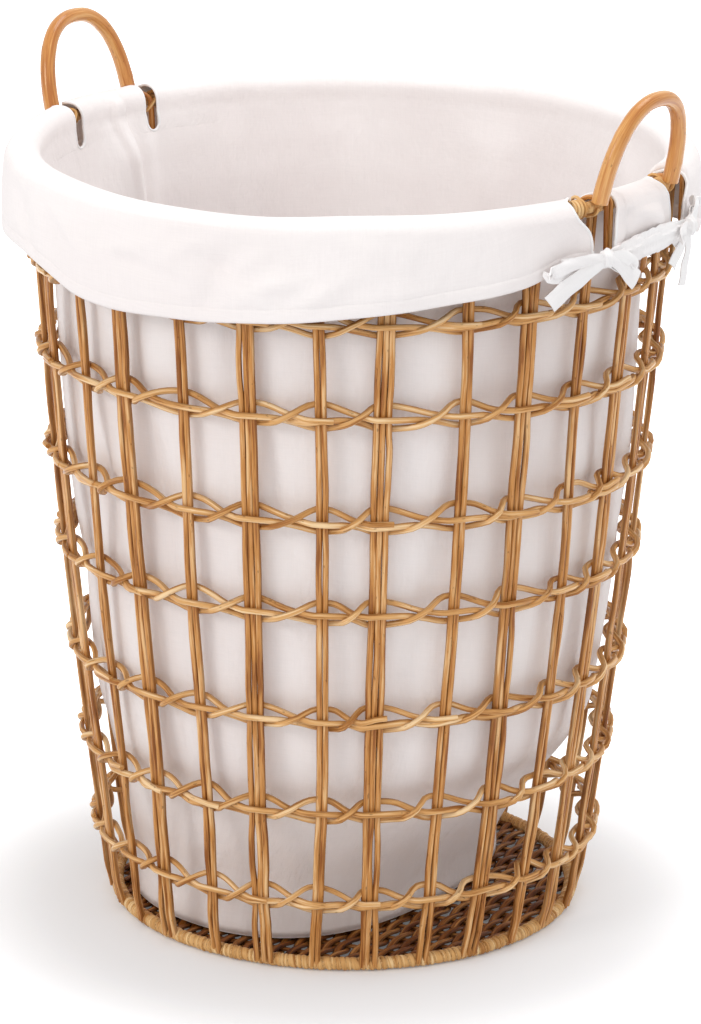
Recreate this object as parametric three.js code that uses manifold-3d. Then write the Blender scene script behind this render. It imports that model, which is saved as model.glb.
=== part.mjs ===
// Round rattan laundry basket with a tied cotton liner, in millimetres, +Z up.
// The origin is on the floor under the middle of the base. The two handles lie on the X axis.

import * as THREE from 'three';
import { mergeVertices } from 'three/addons/utils/BufferGeometryUtils.js';
import Module from 'manifold-3d';

const wasm = await Module();
wasm.setup();

// Gap that two separate pieces keep where they touch
const clearance = 0.3;

// Wall: bundles of rods (stakes) that rise from the base to the rim
const stakeCount = 28;
const firstStakeAngle = 4.7; // degrees from the right handle
const baseRadius = 175; // middle of the stakes at the floor
const rimRadius = 228.5; // middle of the stakes at the rim
const wallBelly = 5.9; // how far the wall bows out of a straight cone at half height
const rodDiameter = 4.6; // one rod of a stake
const rodPitch = 4.2; // rods of one stake lie pressed together
const stakeSteps = 4;
const stakeFootLift = 0.5; // stakes stop just above the floor

// Twined rows: heights from the floor, then from each row to the next, then to the rim
const firstRowHeight = 58;
const rowGaps = [70, 71, 80, 68, 75, 66];
const rimAboveTopRow = 70;
const strandDiameter = 4;
const strandSides = 5;
const strandReach = 6.2; // middle of a strand from the middle of the stake that it passes
const strandLift = 8; // half the height of the eye that the strands make round a stake

// Hoops, measured over the cane that wraps them
const rimHoopDiameter = 9;
const baseHoopDiameter = 8;
const hoopSides = 8;

// Woven base: rods side by side, flat below
const baseWeaveThickness = 6.5;
const baseRodSpacing = 10.5;
const baseRodRelief = 2.2; // depth of the grooves between the rods
const baseRodFlat = 0.6; // share of the spacing that the top of a rod takes up
const baseRodTurn = 15; // degrees from straight across the handles
const baseWeaveSegments = 56;

// Handles: a bent rod whose ends are thinned to tongues that run down inside the rim
const handleRodDiameter = 11;
const handleSpan = 97; // between the middles of its two legs
const handleFootAboveHoop = 16; // where the rod has its full thickness
const handleRise = 54; // from there to the middle of the rod at the top
const handleLean = 12; // degrees outwards
const handleSquareness = 2.7; // exponent of the arch: 2 is an ellipse
const handleFootOut = 3.4; // foot of the leg outside the middle of the rim hoop
const tongueDiameter = 5;
const tongueSetback = 0.5; // how much further in the tongue lies than the stakes
const tongueLength = 58; // below the middle of the rim hoop
const tongueTopShift = 0.8; // the tongue starts to lean out level with the top of the hoop
const neckShift = 1; // the neck lies this much further in than halfway to the foot
const archSteps = 16;
const rodSides = 8;

// Cane lashing that ties each handle tongue to the rim hoop
const caneDiameter = 2.2;
const caneGap = 0.5; // between the cane and what it goes round
const lashingTurns = 4;
const lashingPitch = 2.8;
const lashingOffset = 5.4; // nearest turn from the middle of the leg
const crossingShare = 0.17; // share of a turn in which the cane crosses over the tongue
const lashingSteps = 10; // steps of one turn
const lashingSides = 4;

// Liner: a cotton bag with its top folded out over the rim
const clothThickness = 2;
const bagBottomHalfLength = 118; // between the handles
const bagBottomHalfWidth = 146;
const bagBottomShift = 38; // the empty bag slumps to the left of the base
const bagSlumpHeight = 170; // above this the bag fills the basket
const slumpLevels = 3;
const clothRimGap = 6; // outer face of the bag from the middle of the stakes at the rim
const foldCrest = 11.5; // middle of the cloth at the fold above the middle of the hoop
const foldShoulder = 6; // how far the cloth drops from the crest to where it turns down
const foldRound = 2; // rounding of the fold where it leaves the bag
const cuffRimGap = 5.5; // the cuff hangs free of the rim hoop
const cuffBulge = 1.4;
const cuffDepth = 75; // from the crest of the fold to the hem
const cuffSegments = 16;
const tabDepth = 34;
const tabSegments = 3;
const legSlotHalfWidth = 17; // slot in the cuff on each side of a handle leg
const notchWidth = 14;
const notchDepth = 32; // slot on the inside, below the middle of the hoop

// Bows that close the four slots
const knotSize = [6, 8, 7];
const bowLoopRadius = 10;
const bowRibbonRadius = 2.6;
const bowLoopStretch = 1.5;
const bowLoopSetback = 0.5; // the loops lie back against the cuff, behind the plane of the knot
const bowLoopTuck = 4.6; // how far the loops run into the knot
const bowTailLength = 40;
const bowTailSpread = 29; // degrees from straight down
const bowTailWidth = 9;
const bowTailThickness = 2;
const bowBelowHoop = 30; // middle of the knot below the middle of the hoop

// Values worked out from the sizes above
const topRowHeight = firstRowHeight + rowGaps.reduce((sum, gap) => sum + gap, 0);
const wallHeight = topRowHeight + rimAboveTopRow; // middle of the rim hoop
const rodRadius = rodDiameter / 2;
const strandRadius = strandDiameter / 2;
const rimHoopRadius = rimRadius + rodRadius + clearance + rimHoopDiameter / 2;
const baseHoopRadius = baseRadius - rodRadius - clearance - baseHoopDiameter / 2;
const handleFootRadius = rimHoopRadius + handleFootOut;
const cuffRadius = rimHoopRadius + rimHoopDiameter / 2 + cuffRimGap + clothThickness / 2;
const stakeAngleStep = 360 / stakeCount;
const halfTurn = 180; // degrees
const legAngle = THREE.MathUtils.radToDeg(Math.asin(handleSpan / 2 / handleFootRadius));

function wallRadius(height) {
  const t = height / wallHeight;
  return baseRadius + (rimRadius - baseRadius) * t + wallBelly * 4 * t * (1 - t);
}

function stakeAngle(index) {
  return firstStakeAngle + index * stakeAngleStep;
}

// Point at a distance from the basket's axis, in a direction given in degrees
function polar(radius, degrees, height) {
  const angle = THREE.MathUtils.degToRad(degrees);
  return new THREE.Vector3(radius * Math.cos(angle), radius * Math.sin(angle), height);
}

function cane(color, roughness) {
  return new THREE.MeshStandardMaterial({ color, roughness, metalness: 0 });
}

const stakeRattan = cane(0xb5793f, 0.6);
const weaverRattan = cane(0xc68a4c, 0.6);
const wrappedRattan = cane(0xd09a58, 0.65);
const handleRattan = cane(0xc98a4e, 0.35);
const darkRattan = cane(0x7a4c2a, 0.75);
const cotton = cane(0xf3ebe9, 0.95);

const basket = new THREE.Group();

function addPiece(name, geometry, material, degrees = 0) {
  const piece = new THREE.Mesh(geometry, material);
  piece.name = name;
  piece.rotation.z = THREE.MathUtils.degToRad(degrees);
  basket.add(piece);
  return piece;
}

// Skin over a row of rings with equal numbers of points: joined end to start, or capped at both ends
function skin(rings, joined = false) {
  const sides = rings[0].length;
  const corners = rings.flat();
  const faces = [];
  const bands = joined ? rings.length : rings.length - 1;
  for (let ring = 0; ring < bands; ring += 1) {
    const here = ring * sides;
    const there = (ring + 1) % rings.length * sides;
    for (let side = 0; side < sides; side += 1) {
      const next = (side + 1) % sides;
      faces.push(here + side, here + next, there + next);
      faces.push(here + side, there + next, there + side);
    }
  }
  const last = (rings.length - 1) * sides;
  const capRows = joined ? 0 : sides / 2 - 1;
  for (let side = 0; side < capRows; side += 1) {
    const next = side + 1;
    const opposite = sides - 1 - side;
    const beyond = opposite - 1;
    faces.push(side, opposite, next);
    faces.push(last + side, last + next, last + opposite);
    if (beyond > next) {
      faces.push(next, opposite, beyond);
      faces.push(last + next, last + beyond, last + opposite);
    }
  }
  const geometry = new THREE.BufferGeometry().setFromPoints(corners);
  geometry.setIndex(faces);
  return geometry;
}

// Round rod along a list of points, with a radius at each
function rod(points, radii, sides, firstNormal) {
  const rings = [];
  let normal = firstNormal.clone();
  points.forEach((point, index) => {
    const before = points[Math.max(index - 1, 0)];
    const after = points[Math.min(index + 1, points.length - 1)];
    const tangent = after.clone().sub(before).normalize();
    normal = normal.addScaledVector(tangent, -normal.dot(tangent)).normalize();
    const binormal = new THREE.Vector3().crossVectors(tangent, normal);
    const ring = [];
    for (let side = 0; side < sides; side += 1) {
      const turn = side / sides * 2 * Math.PI;
      ring.push(point.clone()
        .addScaledVector(normal, radii[index] * Math.cos(turn))
        .addScaledVector(binormal, radii[index] * Math.sin(turn)));
    }
    rings.push(ring);
  });
  return skin(rings);
}

function toSolid(geometry) {
  const bare = new THREE.BufferGeometry();
  bare.setAttribute('position', geometry.getAttribute('position'));
  bare.setIndex(geometry.getIndex());
  const merged = mergeVertices(bare, 1e-4);
  return new wasm.Manifold(new wasm.Mesh({
    numProp: 3,
    vertProperties: new Float32Array(merged.getAttribute('position').array),
    triVerts: new Uint32Array(merged.getIndex().array),
  }));
}

function toGeometry(solid) {
  const mesh = solid.getMesh();
  const geometry = new THREE.BufferGeometry();
  geometry.setAttribute('position', new THREE.BufferAttribute(new Float32Array(mesh.vertProperties), 3));
  geometry.setIndex(new THREE.BufferAttribute(new Uint32Array(mesh.triVerts), 1));
  return geometry;
}

// Woven base: a flat disc of rods inside a hoop that is wrapped with cane
function hoopGeometry(radius, diameter, height) {
  const outline = [];
  for (let side = 0; side <= hoopSides; side += 1) {
    const turn = (side - 0.5) / hoopSides * 2 * Math.PI;
    const reach = diameter / 2 / Math.cos(Math.PI / hoopSides);
    outline.push(new THREE.Vector2(radius + reach * Math.cos(turn), height + reach * Math.sin(turn)));
  }
  outline[hoopSides] = outline[0].clone();
  const geometry = new THREE.LatheGeometry(outline, 2 * stakeCount);
  geometry.rotateX(Math.PI / 2);
  return geometry;
}

// A lathed hoop has its first corner at the front, and is turned to put it at the first stake
const hoopTurn = firstStakeAngle + 90;
const baseWeaveRadius = baseHoopRadius - baseHoopDiameter / 2 - 2 * clearance;

function baseWeaveGeometry() {
  const rods = Math.ceil(baseWeaveRadius / baseRodSpacing);
  const reach = (rods + 0.5) * baseRodSpacing;
  const ridges = [new THREE.Vector2(reach, 0), new THREE.Vector2(reach, baseWeaveThickness - baseRodRelief)];
  for (let index = rods; index >= -rods; index -= 1) {
    const middle = index * baseRodSpacing;
    ridges.push(new THREE.Vector2(middle + baseRodSpacing * baseRodFlat / 2, baseWeaveThickness));
    ridges.push(new THREE.Vector2(middle - baseRodSpacing * baseRodFlat / 2, baseWeaveThickness));
    ridges.push(new THREE.Vector2(middle - baseRodSpacing / 2, baseWeaveThickness - baseRodRelief));
  }
  ridges.push(new THREE.Vector2(-reach, 0));
  const slab = new THREE.ExtrudeGeometry(new THREE.Shape(ridges), { depth: 2 * reach, bevelEnabled: false });
  slab.rotateX(Math.PI / 2);
  slab.translate(0, reach, 0);
  slab.rotateZ(THREE.MathUtils.degToRad(baseRodTurn));
  const disc = new THREE.CylinderGeometry(
    baseWeaveRadius, baseWeaveRadius, 3 * baseWeaveThickness, baseWeaveSegments);
  disc.rotateX(Math.PI / 2);
  return toGeometry(toSolid(slab).intersect(toSolid(disc)));
}

addPiece('base_weave', baseWeaveGeometry(), darkRattan);
addPiece('base_hoop', hoopGeometry(baseHoopRadius, baseHoopDiameter, baseHoopDiameter / 2),
  wrappedRattan, hoopTurn);

// Stakes: flat bundles of two or three rods, in turn, that follow the wall from floor to rim
function bundleShape(rods) {
  const edge = [];
  const valley = Math.sqrt(rodRadius ** 2 - (rodPitch / 2) ** 2);
  for (let index = 0; index < rods; index += 1) {
    const middle = (index - (rods - 1) / 2) * rodPitch;
    edge.push([middle, rodRadius]);
    if (index < rods - 1) edge.push([middle + rodPitch / 2, valley]);
  }
  const end = (rods - 1) / 2 * rodPitch + rodRadius;
  const below = edge.map(([x, y]) => new THREE.Vector2(x, -y));
  const above = edge.map(([x, y]) => new THREE.Vector2(x, y)).reverse();
  return new THREE.Shape([new THREE.Vector2(-end, 0), ...below, new THREE.Vector2(end, 0), ...above]);
}

function stakeGeometry(rods) {
  const top = wallHeight + rimHoopDiameter / 2;
  const middle = (stakeFootLift + top) / 2;
  const foot = new THREE.Vector3(wallRadius(stakeFootLift), 0, stakeFootLift);
  const tip = new THREE.Vector3(wallRadius(top), 0, top);
  const control = new THREE.Vector3(2 * wallRadius(middle) - (foot.x + tip.x) / 2, 0, middle);
  const extrudePath = new THREE.QuadraticBezierCurve3(foot, control, tip);
  return new THREE.ExtrudeGeometry(bundleShape(rods), { steps: stakeSteps, extrudePath });
}

const stakeKinds = [stakeGeometry(3), stakeGeometry(2)];
for (let index = 0; index < stakeCount; index += 1) {
  const number = String(index + 1).padStart(2, '0');
  addPiece(`stake_${number}`, stakeKinds[index % 2], stakeRattan, stakeAngle(index));
}

// Twined rows: one strand goes round three times, and at each stake its three rounds
// pass behind low, behind high and in front, so that they lock the stake between them
const strandPasses = [
  { outwards: -1, up: -1 },
  { outwards: -1, up: 1 },
  { outwards: 1, up: 0 },
];

class TwinedStrand extends THREE.Curve {
  constructor(height) {
    super();
    this.height = height;
    this.passCount = strandPasses.length * stakeCount;
  }

  passAt(index) {
    const wrapped = (index + this.passCount) % this.passCount;
    const round = Math.floor(wrapped / stakeCount);
    const splice = (1 - stakeCount % 3 + 3) % 3;
    return strandPasses[(wrapped + round * splice) % 3];
  }

  getPoint(t) {
    const place = t * this.passCount;
    const index = Math.floor(place);
    const share = place - index;
    const here = this.passAt(index);
    const next = this.passAt(index + 1);
    const outwards = THREE.MathUtils.lerp(here.outwards, next.outwards, share);
    const up = THREE.MathUtils.lerp(here.up, next.up, share);
    const height = this.height + up * strandLift;
    const radius = wallRadius(height) + outwards * strandReach;
    return polar(radius, firstStakeAngle + place * stakeAngleStep, height);
  }

  getPointAt(t) {
    return this.getPoint(t);
  }

  getTangentAt(t) {
    const step = 0.25 / this.passCount;
    return this.getPoint(t + step).sub(this.getPoint(t - step)).normalize();
  }
}

let rowHeight = firstRowHeight;
[0, ...rowGaps].forEach((gap, index) => {
  rowHeight += gap;
  const strand = new TwinedStrand(rowHeight);
  const geometry = new THREE.TubeGeometry(strand, strand.passCount, strandRadius, strandSides, true);
  addPiece(`twined_row_${index + 1}`, geometry, weaverRattan);
});

// Rim hoop, outside the tops of the stakes
addPiece('rim_hoop', hoopGeometry(rimHoopRadius, rimHoopDiameter, wallHeight), wrappedRattan, hoopTurn);

// Handles: from a tongue inside the rim, out to the foot of the leg, over the arch and back
const tongueRadius = tongueDiameter / 2;
const handleRadius = handleRodDiameter / 2;

function tongueAt(height) {
  return wallRadius(height) + rodRadius - tongueSetback - tongueRadius;
}

function handleGeometry() {
  const half = [];
  const radii = [];
  const footHeight = wallHeight + handleFootAboveHoop;
  const halfway = (tongueAt(wallHeight) + handleFootRadius) / 2;
  const neckHeight = wallHeight + (rimHoopDiameter + handleFootAboveHoop) / 2;
  const tongue = [
    [tongueAt(wallHeight - tongueLength), wallHeight - tongueLength, tongueRadius],
    [tongueAt(wallHeight - tongueLength / 2), wallHeight - tongueLength / 2, tongueRadius],
    [tongueAt(wallHeight), wallHeight, tongueRadius],
    [tongueAt(wallHeight) + tongueTopShift, wallHeight + rimHoopDiameter / 2, tongueRadius],
    [halfway - neckShift, neckHeight, (tongueRadius + handleRadius) / 2],
  ];
  for (const [radius, height, thickness] of tongue) {
    half.push(polar(radius, -legAngle, height));
    radii.push(thickness);
  }
  const lean = THREE.MathUtils.degToRad(handleLean);
  const foot = polar(handleFootRadius, -legAngle, footHeight);
  const arch = [];
  for (let step = 0; step <= archSteps; step += 1) {
    const turn = step / archSteps * Math.PI;
    const across = -Math.sign(Math.cos(turn)) * Math.abs(Math.cos(turn)) ** (2 / handleSquareness);
    const rise = handleRise * Math.sin(turn) ** (2 / handleSquareness);
    arch.push(new THREE.Vector3(
      foot.x + rise * Math.sin(lean), across * handleSpan / 2, footHeight + rise * Math.cos(lean)));
  }
  const otherHalf = half.map((point) => new THREE.Vector3(point.x, -point.y, point.z)).reverse();
  const thickness = [...radii, ...arch.map(() => handleRadius), ...radii.slice().reverse()];
  return rod([...half, ...arch, ...otherHalf], thickness, rodSides, new THREE.Vector3(1, 0, 0));
}

const handle = handleGeometry();
addPiece('handle_right', handle, handleRattan);
addPiece('handle_left', handle, handleRattan, halfTurn);

// Lashings: cane wound round the rim hoop beside a leg, then once over the leg's tongue
function leastGap(points, diameter, apart) {
  let least = Infinity;
  for (let first = 0; first < points.length; first += 1) {
    for (let second = first + apart; second < points.length; second += 1) {
      least = Math.min(least, points[first].distanceTo(points[second]) - diameter);
    }
  }
  return least;
}

function lashingPath(leg, coilSide) {
  const caneRadius = caneDiameter / 2;
  const reach = (rimHoopDiameter / 2 + caneGap + caneRadius) / Math.cos(Math.PI / lashingSteps);
  const inside = rimHoopRadius - tongueAt(wallHeight) + tongueRadius + caneGap + caneRadius;
  const crossing = lashingTurns - 0.5; // turns made when the cane is in the middle of the tongue
  const coilEnd = crossing - crossingShare;
  const points = [];
  for (let step = 0; step <= lashingTurns * lashingSteps; step += 1) {
    const turns = step / lashingSteps;
    const turn = turns * 2 * Math.PI;
    const fromTongue = turns - crossing;
    const past = THREE.MathUtils.clamp(fromTongue / crossingShare + 0.5, 0, 1);
    const coil = -lashingOffset - lashingPitch * Math.max(coilEnd - turns, 0);
    const along = THREE.MathUtils.lerp(coil, lashingOffset, past);
    let distance = reach;
    if (Math.abs(fromTongue) < 1.3 * crossingShare) distance = (reach + inside) / 2;
    if (Math.abs(fromTongue) < 0.7 * crossingShare) distance = inside / Math.abs(Math.cos(turn));
    const degrees = leg + THREE.MathUtils.radToDeg(coilSide * along / rimHoopRadius);
    points.push(polar(
      rimHoopRadius + distance * Math.cos(turn), degrees, wallHeight + distance * Math.sin(turn)));
  }
  return points;
}

function angleToNearestStake(degrees) {
  const steps = (degrees - firstStakeAngle) / stakeAngleStep;
  return (Math.round(steps) - steps) * stakeAngleStep;
}

const legs = [
  { name: 'right_front', degrees: -legAngle },
  { name: 'right_back', degrees: legAngle },
  { name: 'left_back', degrees: halfTurn - legAngle },
  { name: 'left_front', degrees: halfTurn + legAngle },
];

for (const leg of legs) {
  const coilSide = angleToNearestStake(leg.degrees) > 0 ? 1 : -1;
  const path = lashingPath(leg.degrees, coilSide);
  const radii = path.map(() => caneDiameter / 2);
  const geometry = rod(path, radii, lashingSides, new THREE.Vector3(0, 0, 1));
  addPiece(`lashing_${leg.name}`, geometry, wrappedRattan);
  const gap = leastGap(path, caneDiameter, Math.floor(lashingSteps / 2));
  console.log(`lashing_${leg.name}: least gap to itself ${gap.toFixed(2)} mm`);
}

// Liner: a bag that hangs from the rim and slumps to one side at the bottom
const clothHalf = clothThickness / 2;
const panelFoot = baseWeaveThickness + clearance + clothThickness + clearance;
const panelTop = wallHeight + foldCrest / 2;
const aboveRows = topRowHeight + strandLift + strandRadius;

function bagRadius(height) {
  const insideRows = wallRadius(height) - strandReach - strandRadius - clearance;
  const atRim = rimRadius - clothRimGap;
  const share = THREE.MathUtils.clamp((height - aboveRows) / (wallHeight - aboveRows), 0, 1);
  return THREE.MathUtils.lerp(insideRows, atRim, share);
}

function bagRing(height, depth) {
  const slump = 1 - THREE.MathUtils.smoothstep(height, panelFoot, bagSlumpHeight);
  const halfLength = THREE.MathUtils.lerp(bagRadius(height), bagBottomHalfLength, slump) - depth;
  const halfWidth = THREE.MathUtils.lerp(bagRadius(height), bagBottomHalfWidth, slump) - depth;
  return { shift: -bagBottomShift * slump, halfLength, halfWidth, height };
}

function sidePanel() {
  const notchReach = 10 * clothThickness;
  const levels = [panelFoot];
  for (let step = 1; step <= slumpLevels; step += 1) {
    levels.push(THREE.MathUtils.lerp(panelFoot, bagSlumpHeight, step / slumpLevels));
  }
  levels.push((bagSlumpHeight + aboveRows) / 2, aboveRows, wallHeight, panelTop);
  const inner = levels.map((height) => bagRing(height, clothThickness));
  const outer = levels.map((height) => bagRing(height, 0)).reverse();
  const rings = [];
  for (let index = 0; index < stakeCount; index += 1) {
    const around = [...inner, ...outer].map((ring) => {
      const point = polar(1, stakeAngle(index), ring.height);
      point.x = ring.shift + ring.halfLength * point.x;
      point.y *= ring.halfWidth;
      return point;
    });
    rings.push(around);
  }
  let panel = toSolid(skin(rings, true));
  for (const leg of legs) {
    const notch = new THREE.Shape();
    const round = notchWidth / 2;
    notch.absarc(0, round - notchDepth, round, Math.PI, 2 * Math.PI, false);
    notch.lineTo(round, foldCrest);
    notch.lineTo(-round, foldCrest);
    const cutter = new THREE.ExtrudeGeometry(
      notch, { depth: notchReach, bevelEnabled: false, curveSegments: 3 });
    cutter.rotateX(Math.PI / 2);
    cutter.rotateZ(Math.PI / 2);
    cutter.translate(rimRadius - clothRimGap - clothHalf - notchReach / 2, 0, wallHeight);
    cutter.rotateZ(THREE.MathUtils.degToRad(leg.degrees));
    panel = panel.subtract(toSolid(cutter));
  }
  return toGeometry(panel);
}

const bottomPanel = new THREE.CylinderGeometry(1, 1, clothThickness, stakeCount);
bottomPanel.rotateX(Math.PI / 2);
bottomPanel.scale(bagBottomHalfLength, bagBottomHalfWidth, 1);
bottomPanel.translate(-bagBottomShift, 0, baseWeaveThickness + clearance + clothHalf);
addPiece('liner_bottom_panel', bottomPanel, cotton);
addPiece('liner_side_panel', sidePanel(), cotton);

// The top of the liner is folded out over the rim: four slots for the handle legs
// leave a long cuff at the front and the back, and a short tab inside each handle
function foldProfile(depth) {
  const inside = rimRadius - clothRimGap - clothHalf;
  const crest = wallHeight + foldCrest;
  const start = panelTop + clearance;
  return [
    new THREE.Vector2(inside, start),
    new THREE.Vector2(inside, start + foldRound * 0.75),
    new THREE.Vector2(inside + foldRound, crest - foldRound * 0.75),
    new THREE.Vector2(inside + 3.5 * foldRound, crest),
    new THREE.Vector2(cuffRadius - foldShoulder, crest),
    new THREE.Vector2(cuffRadius - foldShoulder / 4, crest - foldShoulder),
    new THREE.Vector2(cuffRadius + cuffBulge, crest - depth * 0.4),
    new THREE.Vector2(cuffRadius, crest - depth),
  ];
}

function shellOutline(profile, thickness) {
  const outer = [];
  const inner = [];
  profile.forEach((point, index) => {
    const before = profile[Math.max(index - 1, 0)];
    const after = profile[Math.min(index + 1, profile.length - 1)];
    const along = after.clone().sub(before).normalize();
    const outwards = new THREE.Vector2(-along.y, along.x);
    outer.push(point.clone().addScaledVector(outwards, thickness / 2));
    inner.push(point.clone().addScaledVector(outwards, -thickness / 2));
  });
  return [...outer, ...inner.reverse()];
}

function flapGeometry(fromDegrees, toDegrees, depth, segments) {
  const outline = shellOutline(foldProfile(depth), clothThickness);
  const rings = [];
  for (let step = 0; step <= segments; step += 1) {
    const degrees = THREE.MathUtils.lerp(fromDegrees, toDegrees, step / segments);
    rings.push(outline.map((point) => polar(point.x, degrees, point.y)));
  }
  return skin(rings);
}

const slotHalfAngle = THREE.MathUtils.radToDeg(legSlotHalfWidth / cuffRadius);
const cuffFrom = legAngle + slotHalfAngle;
const tabTo = legAngle - slotHalfAngle;
const cuff = flapGeometry(cuffFrom, halfTurn - cuffFrom, cuffDepth, cuffSegments);
const tab = flapGeometry(-tabTo, tabTo, tabDepth, tabSegments);
addPiece('liner_cuff_back', cuff, cotton);
addPiece('liner_cuff_front', cuff, cotton, halfTurn);
addPiece('liner_tab_right', tab, cotton);
addPiece('liner_tab_left', tab, cotton, halfTurn);

// Bows: each slot is closed below the rim by a bow of cotton ribbon
function bowGeometry() {
  const [knotDeep, knotWide, knotHigh] = knotSize;
  const knot = new THREE.SphereGeometry(1, 6, 4);
  knot.scale(knotDeep, knotWide, knotHigh);
  knot.rotateX(Math.PI / 2);
  let bow = toSolid(knot);
  for (const side of [-1, 1]) {
    const loop = new THREE.TorusGeometry(bowLoopRadius, bowRibbonRadius, 4, 9);
    loop.rotateY(Math.PI / 2);
    loop.scale(1, bowLoopStretch, 1);
    loop.translate(
      bowRibbonRadius - knotDeep - bowLoopSetback,
      side * (knotWide + bowLoopRadius * bowLoopStretch - bowLoopTuck),
      0);
    bow = bow.add(toSolid(loop));
    const tail = new THREE.BoxGeometry(bowTailThickness, bowTailWidth, bowTailLength);
    tail.translate(0, 0, -bowTailLength / 2);
    tail.rotateX(side * THREE.MathUtils.degToRad(bowTailSpread));
    bow = bow.add(toSolid(tail));
  }
  const geometry = toGeometry(bow);
  geometry.translate(knotDeep, 0, 0);
  return geometry;
}

const bow = bowGeometry();
const bowRadius = cuffRadius + cuffBulge + clothHalf + clearance;
for (const leg of legs) {
  const piece = addPiece(`bow_${leg.name}`, bow, cotton, leg.degrees);
  piece.position.copy(polar(bowRadius, leg.degrees, wallHeight - bowBelowHoop));
}

export default basket;
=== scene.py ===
# %% [markdown]
# # A rattan laundry basket with a tied cotton liner
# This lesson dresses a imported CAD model. Rods stand up from a woven base, seven rows of
# twining hold them, a hoop closes the rim, and a cotton bag hangs inside with its top folded
# out over the hoop. The CAD model gives the size and place of everything. Here each rod gets
# its own bends, grain and cut ends, and the cloth gets its folds.

# %% Load the CAD model and keep its box
import math
import bpy
import numpy as np
from mathutils import Matrix, Vector


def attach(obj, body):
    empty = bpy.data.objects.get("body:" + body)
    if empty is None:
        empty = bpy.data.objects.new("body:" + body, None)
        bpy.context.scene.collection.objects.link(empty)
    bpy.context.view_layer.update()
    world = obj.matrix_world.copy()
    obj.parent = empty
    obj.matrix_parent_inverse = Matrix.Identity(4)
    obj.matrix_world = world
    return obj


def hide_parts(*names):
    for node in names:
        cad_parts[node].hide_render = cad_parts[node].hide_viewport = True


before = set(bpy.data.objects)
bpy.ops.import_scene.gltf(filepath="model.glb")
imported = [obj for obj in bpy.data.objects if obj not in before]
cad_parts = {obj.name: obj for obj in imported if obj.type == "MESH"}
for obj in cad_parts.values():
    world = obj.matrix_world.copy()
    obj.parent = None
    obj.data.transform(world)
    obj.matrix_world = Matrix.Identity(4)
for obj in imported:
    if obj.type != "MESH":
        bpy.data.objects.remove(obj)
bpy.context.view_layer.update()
chance = np.random.default_rng(28)

# %% [markdown]
# ## The camera
# The photograph was taken with a long lens, a little above the rim and turned towards the
# right handle. A long lens far away keeps the rim ellipse flat, so the lens and the distance
# matter as much as the angle. They were worked out from the rim, the base and the rows, and
# they hold for a picture that is 1024 pixels high.

# %% Set the camera
PHOTO_HEIGHT = 1024
FOCAL_PIXELS = 3977
CAMERA_PLACE = (1.6517, -2.2375, 1.1441)
CAMERA_TURN = 36.4  # degrees from straight in front, towards the right handle
CAMERA_DOWN = 17.09
CAMERA_ROLL = 0.69
bpy.ops.object.select_all(action="DESELECT")
bpy.ops.object.camera_add(location=(0, 0, 0))
camera = bpy.context.object
camera.name = "photo_camera"
camera.data.sensor_fit = "AUTO"
camera.data.sensor_width = 36
camera.data.lens = FOCAL_PIXELS / PHOTO_HEIGHT * camera.data.sensor_width
camera.data.clip_end = 20
turn = Matrix.Rotation(math.radians(CAMERA_TURN), 4, "Z")
tilt = Matrix.Rotation(math.radians(90 - CAMERA_DOWN), 4, "X")
roll = Matrix.Rotation(math.radians(CAMERA_ROLL), 4, "Z")
camera.matrix_world = Matrix.Translation(CAMERA_PLACE) @ turn @ tilt @ roll
bpy.context.scene.camera = camera
bpy.context.scene.view_settings.view_transform = "Standard"
print("lens", round(camera.data.lens, 1), "mm")

# %% [markdown]
# ## Shader maths that reads like maths
# A material is a tree of nodes, and most of the nodes are sums. This small class wraps an
# output socket, so that `fibre * 0.3 + 0.7` makes the two Math nodes and links them. One
# method, `node`, makes every other kind of node.


# %% A wrapper for sockets and a wrapper for materials
class Socket:
    """One output of a node. Plain arithmetic on it adds Math nodes to the material."""

    def __init__(self, finish, output):
        self.finish = finish
        self.output = output

    def _maths(self, operation, first, second):
        return self.finish.node("Math", {0: first, 1: second}, operation=operation)

    def __add__(self, other):
        return self._maths("ADD", self, other)

    def __radd__(self, other):
        return self._maths("ADD", other, self)

    def __sub__(self, other):
        return self._maths("SUBTRACT", self, other)

    def __rsub__(self, other):
        return self._maths("SUBTRACT", other, self)

    def __mul__(self, other):
        return self._maths("MULTIPLY", self, other)

    def __rmul__(self, other):
        return self._maths("MULTIPLY", other, self)

    def __truediv__(self, other):
        return self._maths("DIVIDE", self, other)

    def sine(self):
        return self._maths("SINE", self, 0.0)

    def size(self):
        return self._maths("ABSOLUTE", self, 0.0)

    def between(self, low, high):
        """0 below low, 1 above high, smooth between."""
        inputs = {"Value": self, "From Min": low, "From Max": high}
        return self.finish.node("MapRange", inputs, interpolation_type="SMOOTHSTEP")


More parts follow.
